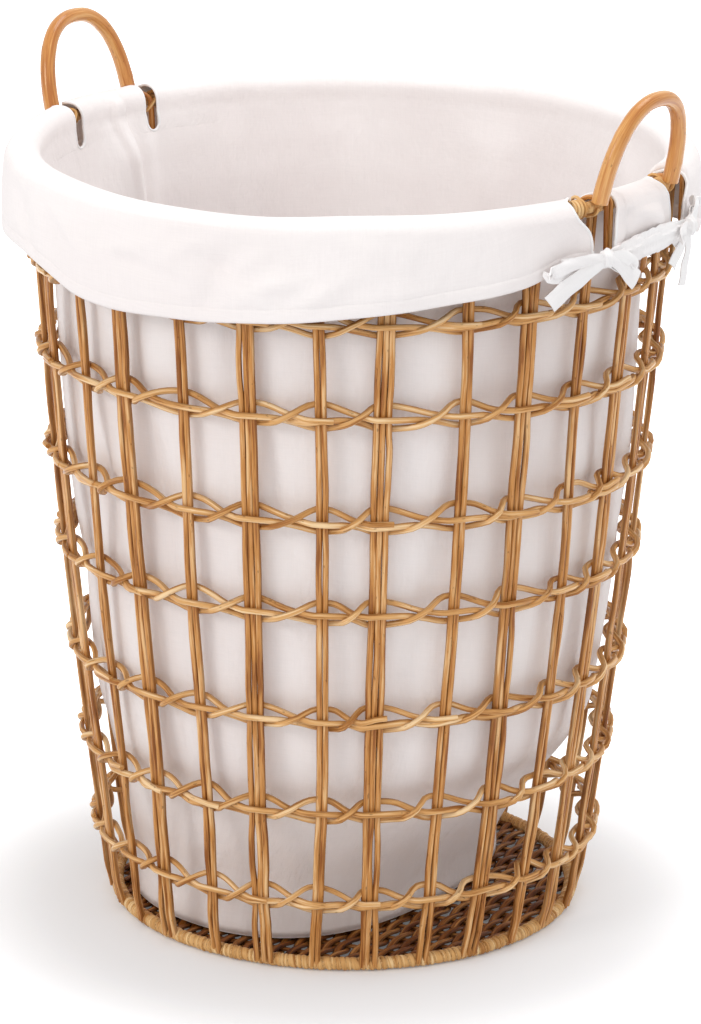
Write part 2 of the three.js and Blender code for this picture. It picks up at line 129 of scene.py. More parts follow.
class Finish:
    """A material whose nodes are made by name."""

    def __init__(self, name):
        self.material = bpy.data.materials.new(name)
        self.material.use_nodes = True
        self.tree = self.material.node_tree
        self.shader = self.tree.nodes["Principled BSDF"]

    def node(self, kind, inputs=None, output=0, **settings):
        made = self.tree.nodes.new("ShaderNode" + kind)
        for setting, value in settings.items():
            setattr(made, setting, value)
        for place, value in (inputs or {}).items():
            self.join(value, made.inputs[place])
        return Socket(self, made.outputs[output])

    def join(self, value, socket):
        if isinstance(value, Socket):
            self.tree.links.new(value.output, socket)
        else:
            socket.default_value = value

    def noise(self, vector, scale, detail=2.0, roughness=0.5):
        """Noise from 0 to 1 that is stretched by a scale for each axis."""
        stretched = self.node("VectorMath", {0: vector, 1: scale}, operation="MULTIPLY")
        inputs = {"Vector": stretched, "Scale": 1.0, "Detail": detail, "Roughness": roughness}
        return self.node("TexNoise", inputs)

    def mix(self, factor, first, second, blend="MIX"):
        inputs = {0: factor, 6: first, 7: second}
        return self.node("Mix", inputs, output=2, data_type="RGBA", blend_type=blend)

    def bump(self, height, distance, strength=1.0):
        inputs = {"Height": height, "Distance": distance, "Strength": strength}
        return self.node("Bump", inputs)

    def finish(self, **values):
        for name, value in values.items():
            self.join(value, self.shader.inputs[name.replace("_", " ")])
        return self.material


print("Socket and Finish are ready")

# %% [markdown]
# ## Floor, sky and lamps
# The photograph is a cut-out on white, with a soft grey shadow on the floor. The floor is a
# pale sheet, and only what the camera sees of it gets some extra glow, so that the lit floor
# turns white and the shadow stays. Further out the glow is full, and the sheet has no edge.
# Most of the light comes from a pale sky. A large soft lamp at the front left throws the
# shadows of the stakes to the right on the cloth, and one above lights the fold and the inside.

# %% Make the floor
FLOOR_GLOW = 0.11
SHADOW_MIDDLE = (0.018, -0.024, 0)
SHADOW_REACH = (0.20, 0.44)  # the glow grows from the first distance to the second
bpy.ops.object.select_all(action="DESELECT")
bpy.ops.mesh.primitive_plane_add(size=14, location=(0, 0, 0))
floor = bpy.context.object
floor.name = "studio_floor"
paper = Finish("studio_paper")
seen = paper.node("LightPath", output="Is Camera Ray")
mirrored = paper.node("LightPath", output="Is Glossy Ray")
glow = seen + mirrored
paper.shader.inputs["Emission Strength"].default_value = 1.0
floor_place = paper.node("TexCoord", output="Object")
mottle = paper.noise(floor_place, (3, 3, 3))
from_middle = paper.node("VectorMath", {0: floor_place, 1: SHADOW_MIDDLE}, operation="SUBTRACT")
away = paper.node("VectorMath", {0: from_middle}, output="Value", operation="LENGTH")
far_glow = away.between(*SHADOW_REACH)
glow = glow * (FLOOR_GLOW + far_glow * (1 - FLOOR_GLOW))
glow_colour = paper.mix(glow, (0, 0, 0, 1), (1, 1, 1, 1))
paper_colour = paper.mix(mottle, (0.80, 0.81, 0.83, 1), (0.82, 0.83, 0.85, 1))
floor.data.materials.append(paper.finish(Base_Color=paper_colour, Emission_Color=glow_colour,
                                         Roughness=0.95))
print("floor glow for the camera:", FLOOR_GLOW)

# %% Make the sky and the lamps
SKY_STRENGTH = 0.905
LAMP_TARGET = Vector((0, 0, 0.3))
world = bpy.data.worlds.new("studio_sky")
bpy.context.scene.world = world
world.use_nodes = True
sky_tree = world.node_tree
background = sky_tree.nodes["Background"]
light_path = sky_tree.nodes.new("ShaderNodeLightPath")
either = sky_tree.nodes.new("ShaderNodeMath")
either.operation = "ADD"
either.use_clamp = True
sky_tree.links.new(light_path.outputs["Is Camera Ray"], either.inputs[0])
sky_tree.links.new(light_path.outputs["Is Transmission Ray"], either.inputs[1])
strength = sky_tree.nodes.new("ShaderNodeMix")
strength.inputs[2].default_value = SKY_STRENGTH
strength.inputs[3].default_value = 1.0
sky_tree.links.new(either.outputs[0], strength.inputs[0])
sky_tree.links.new(strength.outputs[0], background.inputs["Strength"])
background.inputs["Color"].default_value = (1.0, 1.0, 1.0, 1)


def add_lamp(name, place, size, watts, colour):
    bpy.ops.object.light_add(type="AREA", location=place)
    lamp = bpy.context.object
    lamp.name = name
    lamp.data.shape = "DISK"
    lamp.data.size = size
    lamp.data.energy = watts
    lamp.data.color = colour
    lamp.rotation_euler = (LAMP_TARGET - Vector(place)).to_track_quat("-Z", "Y").to_euler()


add_lamp("key_lamp", (-0.50, -2.75, 1.7), 1.0, 16.5, (1.0, 0.985, 0.96))
add_lamp("top_lamp", (0.4, 0.5, 2.6), 1.4, 17, (0.98, 0.99, 1.0))
print("sky", SKY_STRENGTH, "and two lamps")

# %% [markdown]
# ## Rattan
# Each rod is a strip of cane with long fibres, so its colour changes slowly along it and
# quickly across it. The pattern has to bend with the rod. Every rod therefore carries a
# `grain` attribute: how far along the rod a point is, and where it is across the rod, as if
# the rod had been straightened out. Noise that is stretched along the first of these numbers
# gives streaks that follow the rod without a seam. Each rod starts at its own place along the
# pattern, so no two are alike. The handles are varnished, so they get a strong smooth coat.


# %% Make the cane finishes
# half width of a rod in its grain: the painted shade on the sides of a rod is full from about here
CANE_EDGE = 0.0022
# how fine each pattern is: along a rod and, twice, across it
STREAKS = (24, 560, 560)
FIBRES = (70, 2400, 2400)
BLOTCHES = (13, 90, 90)
SPECKS = (190, 420, 420)


def cane_finish(name, dark, middle, light, gloss, coat=0.3, edge=0.6, relief=0.0003, polish=0.20):
    """Three tones of cane. `edge` is how much painted shade darkens the sides of a rod, where it meets
    its neighbours.

    `coat` is varnish, `polish` is its roughness and `relief` is the depth of the fibres."""
    finish = Finish(name)
    grain = finish.node("Attribute", output="Vector", attribute_name="grain")
    streaks = finish.noise(grain, STREAKS, 3)
    fibres = finish.noise(grain, FIBRES, 2)
    blotches = finish.noise(grain, BLOTCHES, 2)
    tone = streaks * 0.40 + blotches * 0.42 + fibres * 0.18
    colour = finish.mix(tone.between(0.40, 0.50), (*dark, 1), (*middle, 1))
    colour = finish.mix(tone.between(0.50, 0.60), colour, (*light, 1))
    # one dark colour for the specks, which are real marks, and for the painted shade on the sides of a
    # rod
    speck_and_shade = (*[channel * 0.45 for channel in dark], 1)
    specks = finish.noise(grain, SPECKS, 1).between(0.69, 0.78)
    colour = finish.mix(specks * 0.55, colour, speck_and_shade)
    # painted shade: the sides of a rod, where it meets its neighbours, are darkened as if they lay in
    # shadow
    across = finish.node("SeparateXYZ", {0: grain}, output="Y")
    side = (across / CANE_EDGE).size().between(0.62, 1.02)
    colour = finish.mix(side * edge, colour, speck_and_shade)
    bump = finish.bump(fibres * 0.5 + streaks * 0.5 - specks * 0.4, relief, 0.8)
    roughness = 1.0 - gloss + (streaks - 0.5) * 0.35
    finish.shader.inputs["Coat Roughness"].default_value = polish
    finish.shader.inputs["Coat IOR"].default_value = 1.4
    finish.shader.inputs["Specular IOR Level"].default_value = 0.16
    return finish.finish(Base_Color=colour, Roughness=roughness, Normal=bump, Coat_Weight=coat)


stake_finish = cane_finish("stake_rattan", (0.26, 0.080, 0.010), (0.57, 0.255, 0.068),
                           (0.82, 0.52, 0.25), 0.50)
weaver_finish = cane_finish("weaver_rattan", (0.36, 0.135, 0.026), (0.68, 0.36, 0.125),
                            (0.90, 0.64, 0.36), 0.52, edge=0.5)
wrap_finish = cane_finish("wrapping_cane", (0.42, 0.18, 0.045), (0.70, 0.39, 0.14),
                          (0.88, 0.62, 0.32), 0.50, 0.2, edge=0.75)
base_finish = cane_finish("base_rattan", (0.10, 0.022, 0.002), (0.26, 0.086, 0.014),
                          (0.50, 0.23, 0.066), 0.50, 0.15, edge=0.7)
handle_finish = cane_finish("handle_rattan", (0.46, 0.160, 0.034), (0.61, 0.26, 0.066),
                            (0.76, 0.40, 0.135), 0.62, 0.9, edge=0.0, relief=0.00006, polish=0.16)
print("five cane finishes")

# %% [markdown]
# ## Curves through measured points
# Most shapes here are known at a few places: how far a stake strays at five heights, how far
# a weaving rod lies out from the stakes at some points of its way. `glide` draws a smooth
# curve through such values, and `wander` draws one through random values, which is what makes
# a hand-bent rod look hand-bent.


# %% Smooth curves and slow random drift
MM = 0.001


def glide(at, knots, values):
    """Smooth curve through values at knots, read at the places in `at`."""
    at = np.asarray(at, float)
    knots = np.asarray(knots, float)
    values = np.asarray(values, float)
    slopes = np.gradient(values, knots, axis=0)
    cell = np.clip(np.searchsorted(knots, at) - 1, 0, len(knots) - 2)
    width = knots[cell + 1] - knots[cell]
    share = np.clip((at - knots[cell]) / width, 0, 1)
    if values.ndim > 1:
        width = width[..., None]
        share = share[..., None]
    square, cube = share ** 2, share ** 3
    return ((2 * cube - 3 * square + 1) * values[cell] + (3 * square - 2 * cube) * values[cell + 1]
            + (cube - 2 * square + share) * width * slopes[cell]
            + (cube - square) * width * slopes[cell + 1])


def distances(path):
    """How far each point of a path lies from its start, along the path."""
    steps = np.linalg.norm(np.diff(path, axis=0), axis=1)
    return np.concatenate([[0], np.cumsum(steps)])


def turn_between(angle, other):
    """Signed angle from other to angle, within half a turn."""
    return np.mod(angle - other + math.pi, 2 * math.pi) - math.pi


def wander(along, spacing, size):
    """Random drift of about `size`, with a new random value every `spacing`."""
    knots = np.arange(np.min(along) - spacing, np.max(along) + 2 * spacing, spacing)
    return glide(along, knots, chance.normal(0, size, len(knots)))


def ease(value, low, high):
    """0 below low, 1 above high, smooth between."""
    share = np.clip((np.asarray(value, float) - low) / (high - low), 0, 1)
    return share * share * (3 - 2 * share)


print("halfway from 0 to 1:", ease(0.5, 0, 1))

# %% [markdown]
# ## The frame of the basket
# These sizes are those of the CAD part. The wall is a cone with a slight belly, and 28 stakes
# stand round it. By hand nothing is even: the stakes that the photograph shows lean a few
# millimetres to one side or the other between one row and the next, and the lean is part of
# the look. It was read off at the foot, at three of the rows and at the rim.

# %% Sizes, the wall, and how the stakes lean
WALL_HEIGHT = 0.558
STAKES = 28
FIRST_STAKE = 4.7  # degrees from the right handle
STAKE_STEP = 360 / STAKES
ROW_HEIGHTS = [0.058, 0.128, 0.199, 0.279, 0.347, 0.422, 0.488]
RIM_HOOP_RADIUS = 0.2356
BASE_HOOP_RADIUS = 0.1702
LEG_ANGLE = 11.71  # degrees from the middle of a handle to the lashing of a leg
BASE_RADIUS = 0.175
WIDENING = 0.0535
BELLY = 0.0236
SAG = 0.0040
SAG_ANGLE = -78
SAG_SPREAD = 28
LEAN_HEIGHTS = [0.0, 0.128, 0.279, 0.422, 0.558]
FRONT_LEANS = {
    18: [0, 3, -4, -4, 0], 19: [-1, 4, 2, 5, 1], 20: [-4, 2, 2, -1, 0], 21: [1, 5, 3, 4, 1],
    22: [0, 1, 3, 3, 1], 23: [-2, 4, 5, 4, 0], 24: [-3, -4, -4, -4, -1], 25: [-2, 0, 3, 4, 1],
    26: [-4, 0, -1, -1, 0], 27: [-4, 0, 2, -3, 0], 0: [-4, -4, -2, -4, 0], 1: [0, -4, -3, -4, 0],
}
leans = np.zeros((STAKES, len(LEAN_HEIGHTS)))
for stake in range(STAKES):
    drift = chance.normal(0, 2.4, len(LEAN_HEIGHTS)).clip(-4, 4) * [0.6, 1, 1, 1, 0.15]
    leans[stake] = np.array(FRONT_LEANS.get(stake, drift)) * MM


def wall_radius(height):
    share = np.asarray(height, float) / WALL_HEIGHT
    return BASE_RADIUS + WIDENING * share + BELLY * share * (1 - share)


def stake_angle(stake, height):
    """Direction of a stake at a height, in radians, with its lean."""
    lean = glide(height, LEAN_HEIGHTS, leans[stake % STAKES])
    return np.radians(FIRST_STAKE + stake * STAKE_STEP) + lean / wall_radius(height)


def rim_sag(angle):
    """The rim hoop hangs a few millimetres lower in the middle of the front."""
    degrees = np.degrees(turn_between(angle, 0))
    return SAG * np.exp(-((degrees - SAG_ANGLE) / SAG_SPREAD) ** 2)


def along_rim(angle):
    """Level direction that runs round the basket."""
    return -math.sin(angle), math.cos(angle), 0


def polar(radius, angle, height):
    """Points from their distance from the middle, their direction and their height."""
    radius, angle, height = np.broadcast_arrays(radius, angle, height)
    return np.stack([radius * np.cos(angle), radius * np.sin(angle), height], axis=-1)


print("wall radius at the floor, half height and rim:", wall_radius([0, 0.279, 0.558]).round(4))

# %% [markdown]
# ## One rod
# A rod is a curve with a round bevel, as when a path is drawn and given thickness. It is made
# from Blender's own path primitive, its points are set, and it is converted to a mesh, so that
# its cut ends are flat and closed. Then each corner of the mesh gets its `grain`.


# %% Bend one rod and write its grain
def select_only(*pieces):
    bpy.ops.object.select_all(action="DESELECT")
    for piece in pieces:
        piece.select_set(True)
    bpy.context.view_layer.objects.active = pieces[0]


def unit(vectors):
    return vectors / np.linalg.norm(vectors, axis=-1, keepdims=True)


def corners_of(mesh):
    flat = np.empty(len(mesh.vertices) * 3)
    mesh.vertices.foreach_get("co", flat)
    return flat.reshape(-1, 3)


def set_corners(mesh, corners):
    mesh.vertices.foreach_set("co", np.asarray(corners, float).ravel())
    mesh.update()


def write_layer(mesh, name, values):
    """Gives each face its own copy of its corners' values, so that a seam stays a clean line."""
    vertex = np.empty(len(mesh.loops), int)
    mesh.loops.foreach_get("vertex_index", vertex)
    layer = mesh.attributes.new(name, "FLOAT_VECTOR", "CORNER")
    layer.data.foreach_set("vector", np.asarray(values, float)[vertex].ravel())


def nearest_points(corners, path):
    """For each corner the number of the nearest point of a path."""
    return np.argmin(((corners[:, None] - path[None]) ** 2).sum(axis=2), axis=1)


def new_grid(columns, rows):
    """A flat grid, and for each of its corners its share of the way across and up."""
    bpy.ops.object.select_all(action="DESELECT")
    bpy.ops.mesh.primitive_grid_add(x_subdivisions=columns, y_subdivisions=rows, size=1)
    grid = bpy.context.object
    return grid, *(corners_of(grid.data)[:, :2] + 0.5).T


def thicken(sheet, thickness):
    """Gives the sheet that was just made its thickness, half of it to either side."""
    solid = sheet.modifiers.new("thickness", "SOLIDIFY")
    solid.thickness = thickness
    solid.offset = 0
    bpy.ops.object.modifier_apply(modifier=solid.name)


def write_grain(mesh, path, across):
    """Straightened-out coordinates: along the rod, and two across it."""
    corners = corners_of(mesh)
    nearest = nearest_points(corners, path)
    tangent = unit(np.gradient(path, axis=0))[nearest]
    offset = corners - path[nearest]
    side = unit(across - tangent * (tangent @ across)[:, None])
    third = np.cross(tangent, side)
    grain = np.empty((len(corners), 3))
    grain[:, 0] = distances(path)[nearest] + (offset * tangent).sum(axis=1) + chance.uniform(0, 40)
    grain[:, 1] = (offset * side).sum(axis=1)
    grain[:, 2] = (offset * third).sum(axis=1)
    write_layer(mesh, "grain", grain)


def bend_rod(path, radii, across, sides=10, flat=None):
    """A rod along a path. flat = (axis, share) squeezes it along that axis."""
    bpy.ops.object.select_all(action="DESELECT")
    bpy.ops.curve.primitive_nurbs_path_add()
    rod = bpy.context.object
    curve = rod.data
    curve.splines.clear()
    spline = curve.splines.new("POLY")
    spline.points.add(len(path) - 1)
    spline.points.foreach_set("co", np.column_stack([path, np.ones(len(path))]).ravel())
    spline.points.foreach_set("radius", np.broadcast_to(radii, len(path)) / MM)
    curve.bevel_depth = MM
    curve.bevel_resolution = sides // 2 - 2
    curve.use_fill_caps = True
    bpy.ops.object.convert(target="MESH")
    rod = bpy.context.object
    if flat is not None:
        axis, share = flat
        corners = corners_of(rod.data)
        middle = path[nearest_points(corners, path), axis]
        corners[:, axis] = middle + (corners[:, axis] - middle) * share
        set_corners(rod.data, corners)
    write_grain(rod.data, np.asarray(path, float), np.asarray(across, float))
    return rod


def bundle(name, rods, finish, smooth=35):
    """Joins rods into one named piece, closes the cut ends and smooths the sides."""
    select_only(*rods)
    if len(rods) > 1:
        bpy.ops.object.join()
    piece = bpy.context.object
    bpy.ops.object.mode_set(mode="EDIT")
    bpy.ops.mesh.select_all(action="SELECT")
    bpy.ops.mesh.remove_doubles(threshold=1e-6)
    bpy.ops.mesh.normals_make_consistent(inside=False)
    bpy.ops.object.mode_set(mode="OBJECT")
    bpy.ops.object.shade_smooth_by_angle(angle=math.radians(smooth))
    piece.name = name
    piece.data.materials.clear()
    piece.data.materials.append(finish)
    return piece


def stand_for(piece, node, body):
    """The piece takes the place of a CAD node and moves with its body."""
    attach(piece, body)
    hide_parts(node)


print("rods can be bent")

# %% [markdown]
# ## Stakes
# Three rods stand side by side in one stake and two in the next. They touch where a row grips
# them and part a little between rows. At the rim they are thinned, folded out over the hoop
# and end a little below it. Under the cloth of the front and back cuffs nobody sees the fold,
# so there most stakes end level with the hoop. The feet come down outside the base hoop.

# %% Make the stakes
ROD_RADIUS = 0.0022
ROD_PITCH = 0.0043
FOLD_RADIUS = 0.00175
HOOP_HALF = 0.0045
FOLD_REACH = 0.0024, 0.0019  # the rod's middle from the hoop, where the fold starts and ends
TAIL_ENDS = 0.026, 0.033  # below the rim
DRAWN_IN = 0.0022
WALL_STEPS = 112
FOLD_STEPS = 12
TAIL_STEPS = 5
CUT_STAKES = [0, *range(13, 27)]
FOOT_END = 0.0042
FOLD_START = WALL_HEIGHT - 0.004


def stake_rod(stake, rod, rods):
    """Path and thickness of one rod of a stake."""
    heights = np.linspace(FOOT_END, FOLD_START, WALL_STEPS)
    nearest_row = np.abs(heights[:, None] - np.array(ROW_HEIGHTS)[None]).min(axis=1)
    loose = ease(nearest_row, 0.006, 0.026)
    place = rod - (rods - 1) / 2
    sideways = place * ROD_PITCH * (0.95 + 0.05 * loose)
    sideways = sideways + wander(heights, 0.050, 0.00035) * (0.25 + 0.75 * loose)
    outwards = wander(heights, 0.05, 0.00035) * loose
    swing = ease(heights, 0.20, 0.02) * chance.normal(0, 0.0012)
    sideways = sideways + swing * loose
    angles = stake_angle(stake, heights) + sideways / wall_radius(heights)
    drawn_in = (1 - ease(heights, FOOT_END, 0.026)) * DRAWN_IN
    wall = polar(wall_radius(heights) + outwards - drawn_in, angles, heights)
    turns = np.linspace(math.pi, 0, FOLD_STEPS)
    reach = HOOP_HALF + np.linspace(*FOLD_REACH, FOLD_STEPS)
    top_angle = np.radians(FIRST_STAKE + stake * STAKE_STEP)
    top_angle = top_angle + place * ROD_PITCH * 0.97 / RIM_HOOP_RADIUS
    over = polar(RIM_HOOP_RADIUS + reach * np.cos(turns), top_angle,
                 WALL_HEIGHT + reach * np.sin(turns))
    tail_heights = np.linspace(FOLD_START, WALL_HEIGHT - chance.uniform(*TAIL_ENDS), TAIL_STEPS)
    tail = polar(RIM_HOOP_RADIUS + reach[-1] + wander(tail_heights, 0.02, 0.0002), top_angle,
                 tail_heights)
    path = np.concatenate([wall, over, tail])
    thick = ROD_RADIUS * (1 + wander(heights, 0.09, 0.03)) * chance.uniform(0.95, 1.04)
    thin = np.linspace(thick[-1], FOLD_RADIUS, FOLD_STEPS)
    if stake in CUT_STAKES:
        stub_height = WALL_HEIGHT + 0.0015 - rim_sag(angles[-1:])
        stub = polar(wall_radius(WALL_HEIGHT), angles[-1:], stub_height)
        return np.concatenate([wall, stub]), np.append(thick, thick[-1])
    return path, np.concatenate([thick, thin, np.full(TAIL_STEPS, FOLD_RADIUS)])


stake_rods = 0
for stake in range(STAKES):
    rods = 3 if stake % 2 == 0 else 2
    beside = along_rim(math.radians(FIRST_STAKE + stake * STAKE_STEP))
    pieces = [bend_rod(*stake_rod(stake, rod, rods), beside) for rod in range(rods)]
    stake_rods += rods
    piece = bundle(f"rattan_stake_{stake + 1:02d}", pieces, stake_finish)
    stand_for(piece, f"stake_{stake + 1:02d}", "basket")
print("stakes:", STAKES, "rods in them:", stake_rods)

# %% [markdown]
# ## Twined rows
# In each row one long strand goes round three times. At every stake one turn of it passes
# behind low, one behind high and one in front, and they change places between the stakes:
# the riser goes from low to high in front of the other two. The strand is spliced from rods.
# A rod ends just past a stake with a cut end, and the next one starts beside it, so many of
# the front passes look double.
#
# The way of the strand from one stake to the next is written down as a few points. A point has
# its share of the way, how far it lies out from the stakes and how far above the row, in
# millimetres.

# %% Make the twined rows
PASSES = 3 * STAKES
STRAND_RADIUS = 0.0022
GRIP = 4.5
TURN_IN = 0.13
CELL_STEPS = 12
LAG = 0.45  # a rod starts this share of a pass before the stake and ends OVERLAP after it
OVERLAP = 0.16
START_LOW = 0.0036  # a rod starts this far below the one that ends, and a little further in
START_IN = 0.0004
END_OUT = 0.0008
RISER = [(0, -GRIP, -8.5), (TURN_IN, -3.9, -7.7), (0.24, 0, -6.0), (0.34, 4.2, -3.9),
         (0.42, 5.5, -2.0), (0.5, 5.8, 0), (0.58, 5.5, 2.0), (0.66, 4.2, 3.9), (0.76, 0, 6.0),
         (1 - TURN_IN, -3.9, 7.7)]
COMING_OUT = [(0, -GRIP, 8.5), (TURN_IN, -4.2, 7.6), (0.30, -3.0, 5.0), (0.50, -0.3, 2.2),
              (0.60, 0.9, 1.3), (0.72, 2.4, 0.6), (1 - TURN_IN, GRIP, 0)]
GOING_IN = [(0, GRIP, 0), (TURN_IN, GRIP, 0), (0.28, 2.4, -0.7), (0.40, 0.8, -1.6),
            (0.50, -0.5, -2.7), (0.70, -3.0, -5.3), (1 - TURN_IN, -4.2, -7.7)]
strand_keys = np.array([(start + share, out, up)
                        for start, cell in enumerate([RISER, COMING_OUT, GOING_IN] * 3)
                        for share, out, up in cell])


def strand_path(row_height, row_drift, crossings, steepness, spreads, first, last):
    """Path of the strand from one place to another, counted in passes."""
    count = int(round((last - first) * CELL_STEPS)) + 1
    places = np.linspace(first, last, count)
    before = np.floor(places).astype(int)
    share = places - before
    # the strands of a cell cross together, sooner or later than halfway, on a long or a short X
    sooner = crossings[before % STAKES] * np.sin(math.pi * share) ** 2
    shorter = steepness[before % STAKES] * np.sin(2 * math.pi * share) / (2 * math.pi)
    cycle = np.mod(before, 3) + share + sooner - shorter + 3
    out, up = glide(cycle, strand_keys[:, 0], strand_keys[:, 1:]).T * MM
    here, there = spreads[before % STAKES], spreads[(before + 1) % STAKES]
    heights = row_height + row_drift(places) + up * (here + (there - here) * share)
    angles = np.empty(count)
    for index in range(count):
        here = stake_angle(int(before[index]), row_height)
        there = stake_angle(int(before[index]) + 1, row_height)
        angles[index] = here + (there - here) * share[index]
    return places, out, angles, heights


def splice_places():
    """Front passes at which one rod ends and the next begins."""
    places = []
    front = 2 + 3 * int(chance.integers(0, 3))
    while front < PASSES + 2:
        places.append(front)
        front += int(chance.choice([6, 9, 9, 12]))
    return places


def row_of_rods(number, row_height):
    """One twined row, made of the rods that its strand is spliced from."""
    swings = chance.normal(0, 1, 6)
    crossings = chance.normal(0, 0.08, STAKES).clip(-0.14, 0.14)
    steepness = chance.uniform(-0.1, 0.6, STAKES)
    spreads = chance.uniform(0.84, 1.14, STAKES)

    def drift(places):
        turns = places / STAKES * 2 * math.pi
        waves = sum(swings[wave] * np.sin((wave + 2) * turns + wave) / (wave + 2) for wave in range(6))
        return waves * 0.0006

    starts = splice_places()
    rods = []
    for index, start in enumerate(starts):
        stop = starts[index + 1] if index + 1 < len(starts) else starts[0] + PASSES
        stick_out = chance.choice([0.0, 0.0, 0.05, 0.14])
        first, last = start - LAG, stop + OVERLAP + stick_out
        places, out, angles, heights = strand_path(
            row_height, drift, crossings, steepness, spreads, first, last)
        beginning = 1 - ease(places, first, start + 0.62)
        heights = heights - START_LOW * beginning
        out = out - START_IN * beginning
        ending = ease(places, stop - 0.30, last)
        out = out + (END_OUT + 0.02 * stick_out) * ending
        heights = heights + chance.normal(0, 0.0012) * ending
        heights = heights + wander(places * 0.05, 0.03, 0.00045)
        radii = STRAND_RADIUS * np.linspace(1.06, 0.92, len(places)) * chance.uniform(0.96, 1.05)
        path = polar(wall_radius(heights) + out, angles, heights)
        rods.append(bend_rod(path, radii, (0, 0, 1)))
    return bundle(f"woven_row_{number}", rods, weaver_finish), len(rods)


for number, row_height in enumerate(ROW_HEIGHTS, start=1):
    piece, count = row_of_rods(number, row_height)
    stand_for(piece, f"twined_row_{number}", "basket")
    print("row", number, "rods:", count, "faces:", len(piece.data.polygons))

# %% [markdown]
# ## Wrapped hoops
# A hoop is a thick rod that is wound round with cane, turn beside turn. The turns are low
# ridges that run slightly askew round it. Hundreds of turns need a finer mesh than a torus
# primitive gives, so a long grid is rolled up into a tube and round into a ring, and its corners
# are lifted by where they lie within a turn. The grain runs round the hoop, as the cane does.

# %% Wrap the rim hoop and the base hoop
HOOP_SIDES = 12
TURN_STEPS = 7
BASE_HOOP_HALF = 0.0052  # also the height of its middle, as the basket stands on it


def wrapped_hoop(name, radius, half, height_at, pitch, depth):
    """A hoop wound with cane. Its middle lies at height_at(angle); sizes are in metres."""
    turns = round(2 * math.pi * radius / pitch)
    hoop, share_round, share_up = new_grid(turns * TURN_STEPS, HOOP_SIDES)
    angle = share_round * 2 * math.pi
    around = (share_up - 0.5) * 2 * math.pi
    place = share_round * turns + share_up - 0.5
    uneven = 0.22 * np.sin(angle * 53) + 0.15 * np.sin(angle * 91 + 1)
    within = np.mod(place + uneven, 1)
    turn = np.mod(np.floor(place + uneven), turns).astype(int)
    thick = chance.uniform(0.55, 1.0, turns)[turn]
    ridge = np.sqrt(np.clip(1 - (2 * within - 1) ** 2, 0, 1))
    lift = half - depth + depth * ridge * thick
    corners = polar(radius + lift * np.cos(around), angle, height_at(angle) + lift * np.sin(around))
    set_corners(hoop.data, corners)
    # the second number puts the edges of each turn at CANE_EDGE, where the cane finish paints shade into
    # the grooves between turns
    grain = np.column_stack([turn * 0.0731 + around * half, (within - 0.5) * 2 * CANE_EDGE, thick])
    write_layer(hoop.data, "grain", grain)
    return bundle(name, [hoop], wrap_finish, 60)


rim_hoop = wrapped_hoop("rim_binding", RIM_HOOP_RADIUS, HOOP_HALF,
                        lambda angle: WALL_HEIGHT - rim_sag(angle), 0.0037, 0.0008)
stand_for(rim_hoop, "rim_hoop", "basket")
base_hoop = wrapped_hoop("base_binding", BASE_HOOP_RADIUS, BASE_HOOP_HALF,
                         lambda angle: BASE_HOOP_HALF, 0.0040, 0.0014)
stand_for(base_hoop, "base_hoop", "basket")
print("hoop faces:", len(rim_hoop.data.polygons), "and", len(base_hoop.data.polygons))

# %% [markdown]
# ## The woven base
# The base is fitched: flat sticks lie side by side with gaps, and pairs of brown rods twist
# round each stick. One rod of a pair goes over while the other goes under, and they change
# places before the next stick. Each rod is a wave along its pair, and its partner is the same
# wave turned over.

# %% Weave the base
BASE_REACH = 0.1668
BASE_TURN = math.radians(15)
PAIR_PITCH = 0.0103
STICK_PITCH = 0.0245
BASE_MIDDLE = 0.0033
PAIR_ROD = 0.0030
PAIR_STEP = 0.0040
PAIR_UP = 0.0021  # how far a rod of a pair swings up and down, and to its sides
PAIR_ASIDE = 0.0025
STICK_HALF = 0.0032
EDGE_GAP = 0.001
UPRIGHT = 2  # the axis along which the rods of the base are squeezed, and how much
PAIR_FLAT = 0.42
STICK_FLAT = 0.30
along_pairs = np.array([-math.sin(BASE_TURN), math.cos(BASE_TURN), 0])
across_pairs = np.array([math.cos(BASE_TURN), math.sin(BASE_TURN), 0])


def base_point(along, across, height):
    return (np.outer(along, along_pairs) + np.outer(across, across_pairs)
            + np.outer(height, [0, 0, 1]))


base_rods = []
pair_count = int(BASE_REACH / PAIR_PITCH)
for pair in range(-pair_count, pair_count + 1):
    middle = pair * PAIR_PITCH + chance.normal(0, 0.0003)
    reach = math.sqrt(BASE_REACH ** 2 - middle ** 2) - EDGE_GAP
    along = np.arange(-reach, reach, PAIR_STEP)
    phase = math.pi * along / STICK_PITCH + math.pi * pair
    drift = wander(along, 0.05, 0.0006)
    for partner in (0, math.pi):
        height = BASE_MIDDLE + PAIR_UP * np.cos(phase + partner)
        across = middle + drift + PAIR_ASIDE * np.sin(phase + partner)
        across = across + wander(along, 0.03, 0.0002)
        keep = np.hypot(along, across) < BASE_REACH
        path = base_point(along[keep], across[keep], height[keep])
        radius = PAIR_ROD * chance.uniform(0.93, 1.05)
        base_rods.append(bend_rod(path, radius, across_pairs, flat=(UPRIGHT, PAIR_FLAT)))
stick_count = int(BASE_REACH / STICK_PITCH)
for stick in range(-stick_count, stick_count + 1):
    middle = stick * STICK_PITCH
    reach = math.sqrt(BASE_REACH ** 2 - middle ** 2) - EDGE_GAP
    across = np.linspace(-reach, reach, 70)
    along = middle + wander(across, 0.08, 0.0007)
    path = base_point(along, across, np.full(len(across), BASE_MIDDLE))
    base_rods.append(bend_rod(path, STICK_HALF, along_pairs, 8, (UPRIGHT, STICK_FLAT)))
base_mat = bundle("woven_base", base_rods, base_finish)
stand_for(base_mat, "base_weave", "basket")
print("base rods:", len(base_rods), "faces:", len(base_mat.data.polygons))

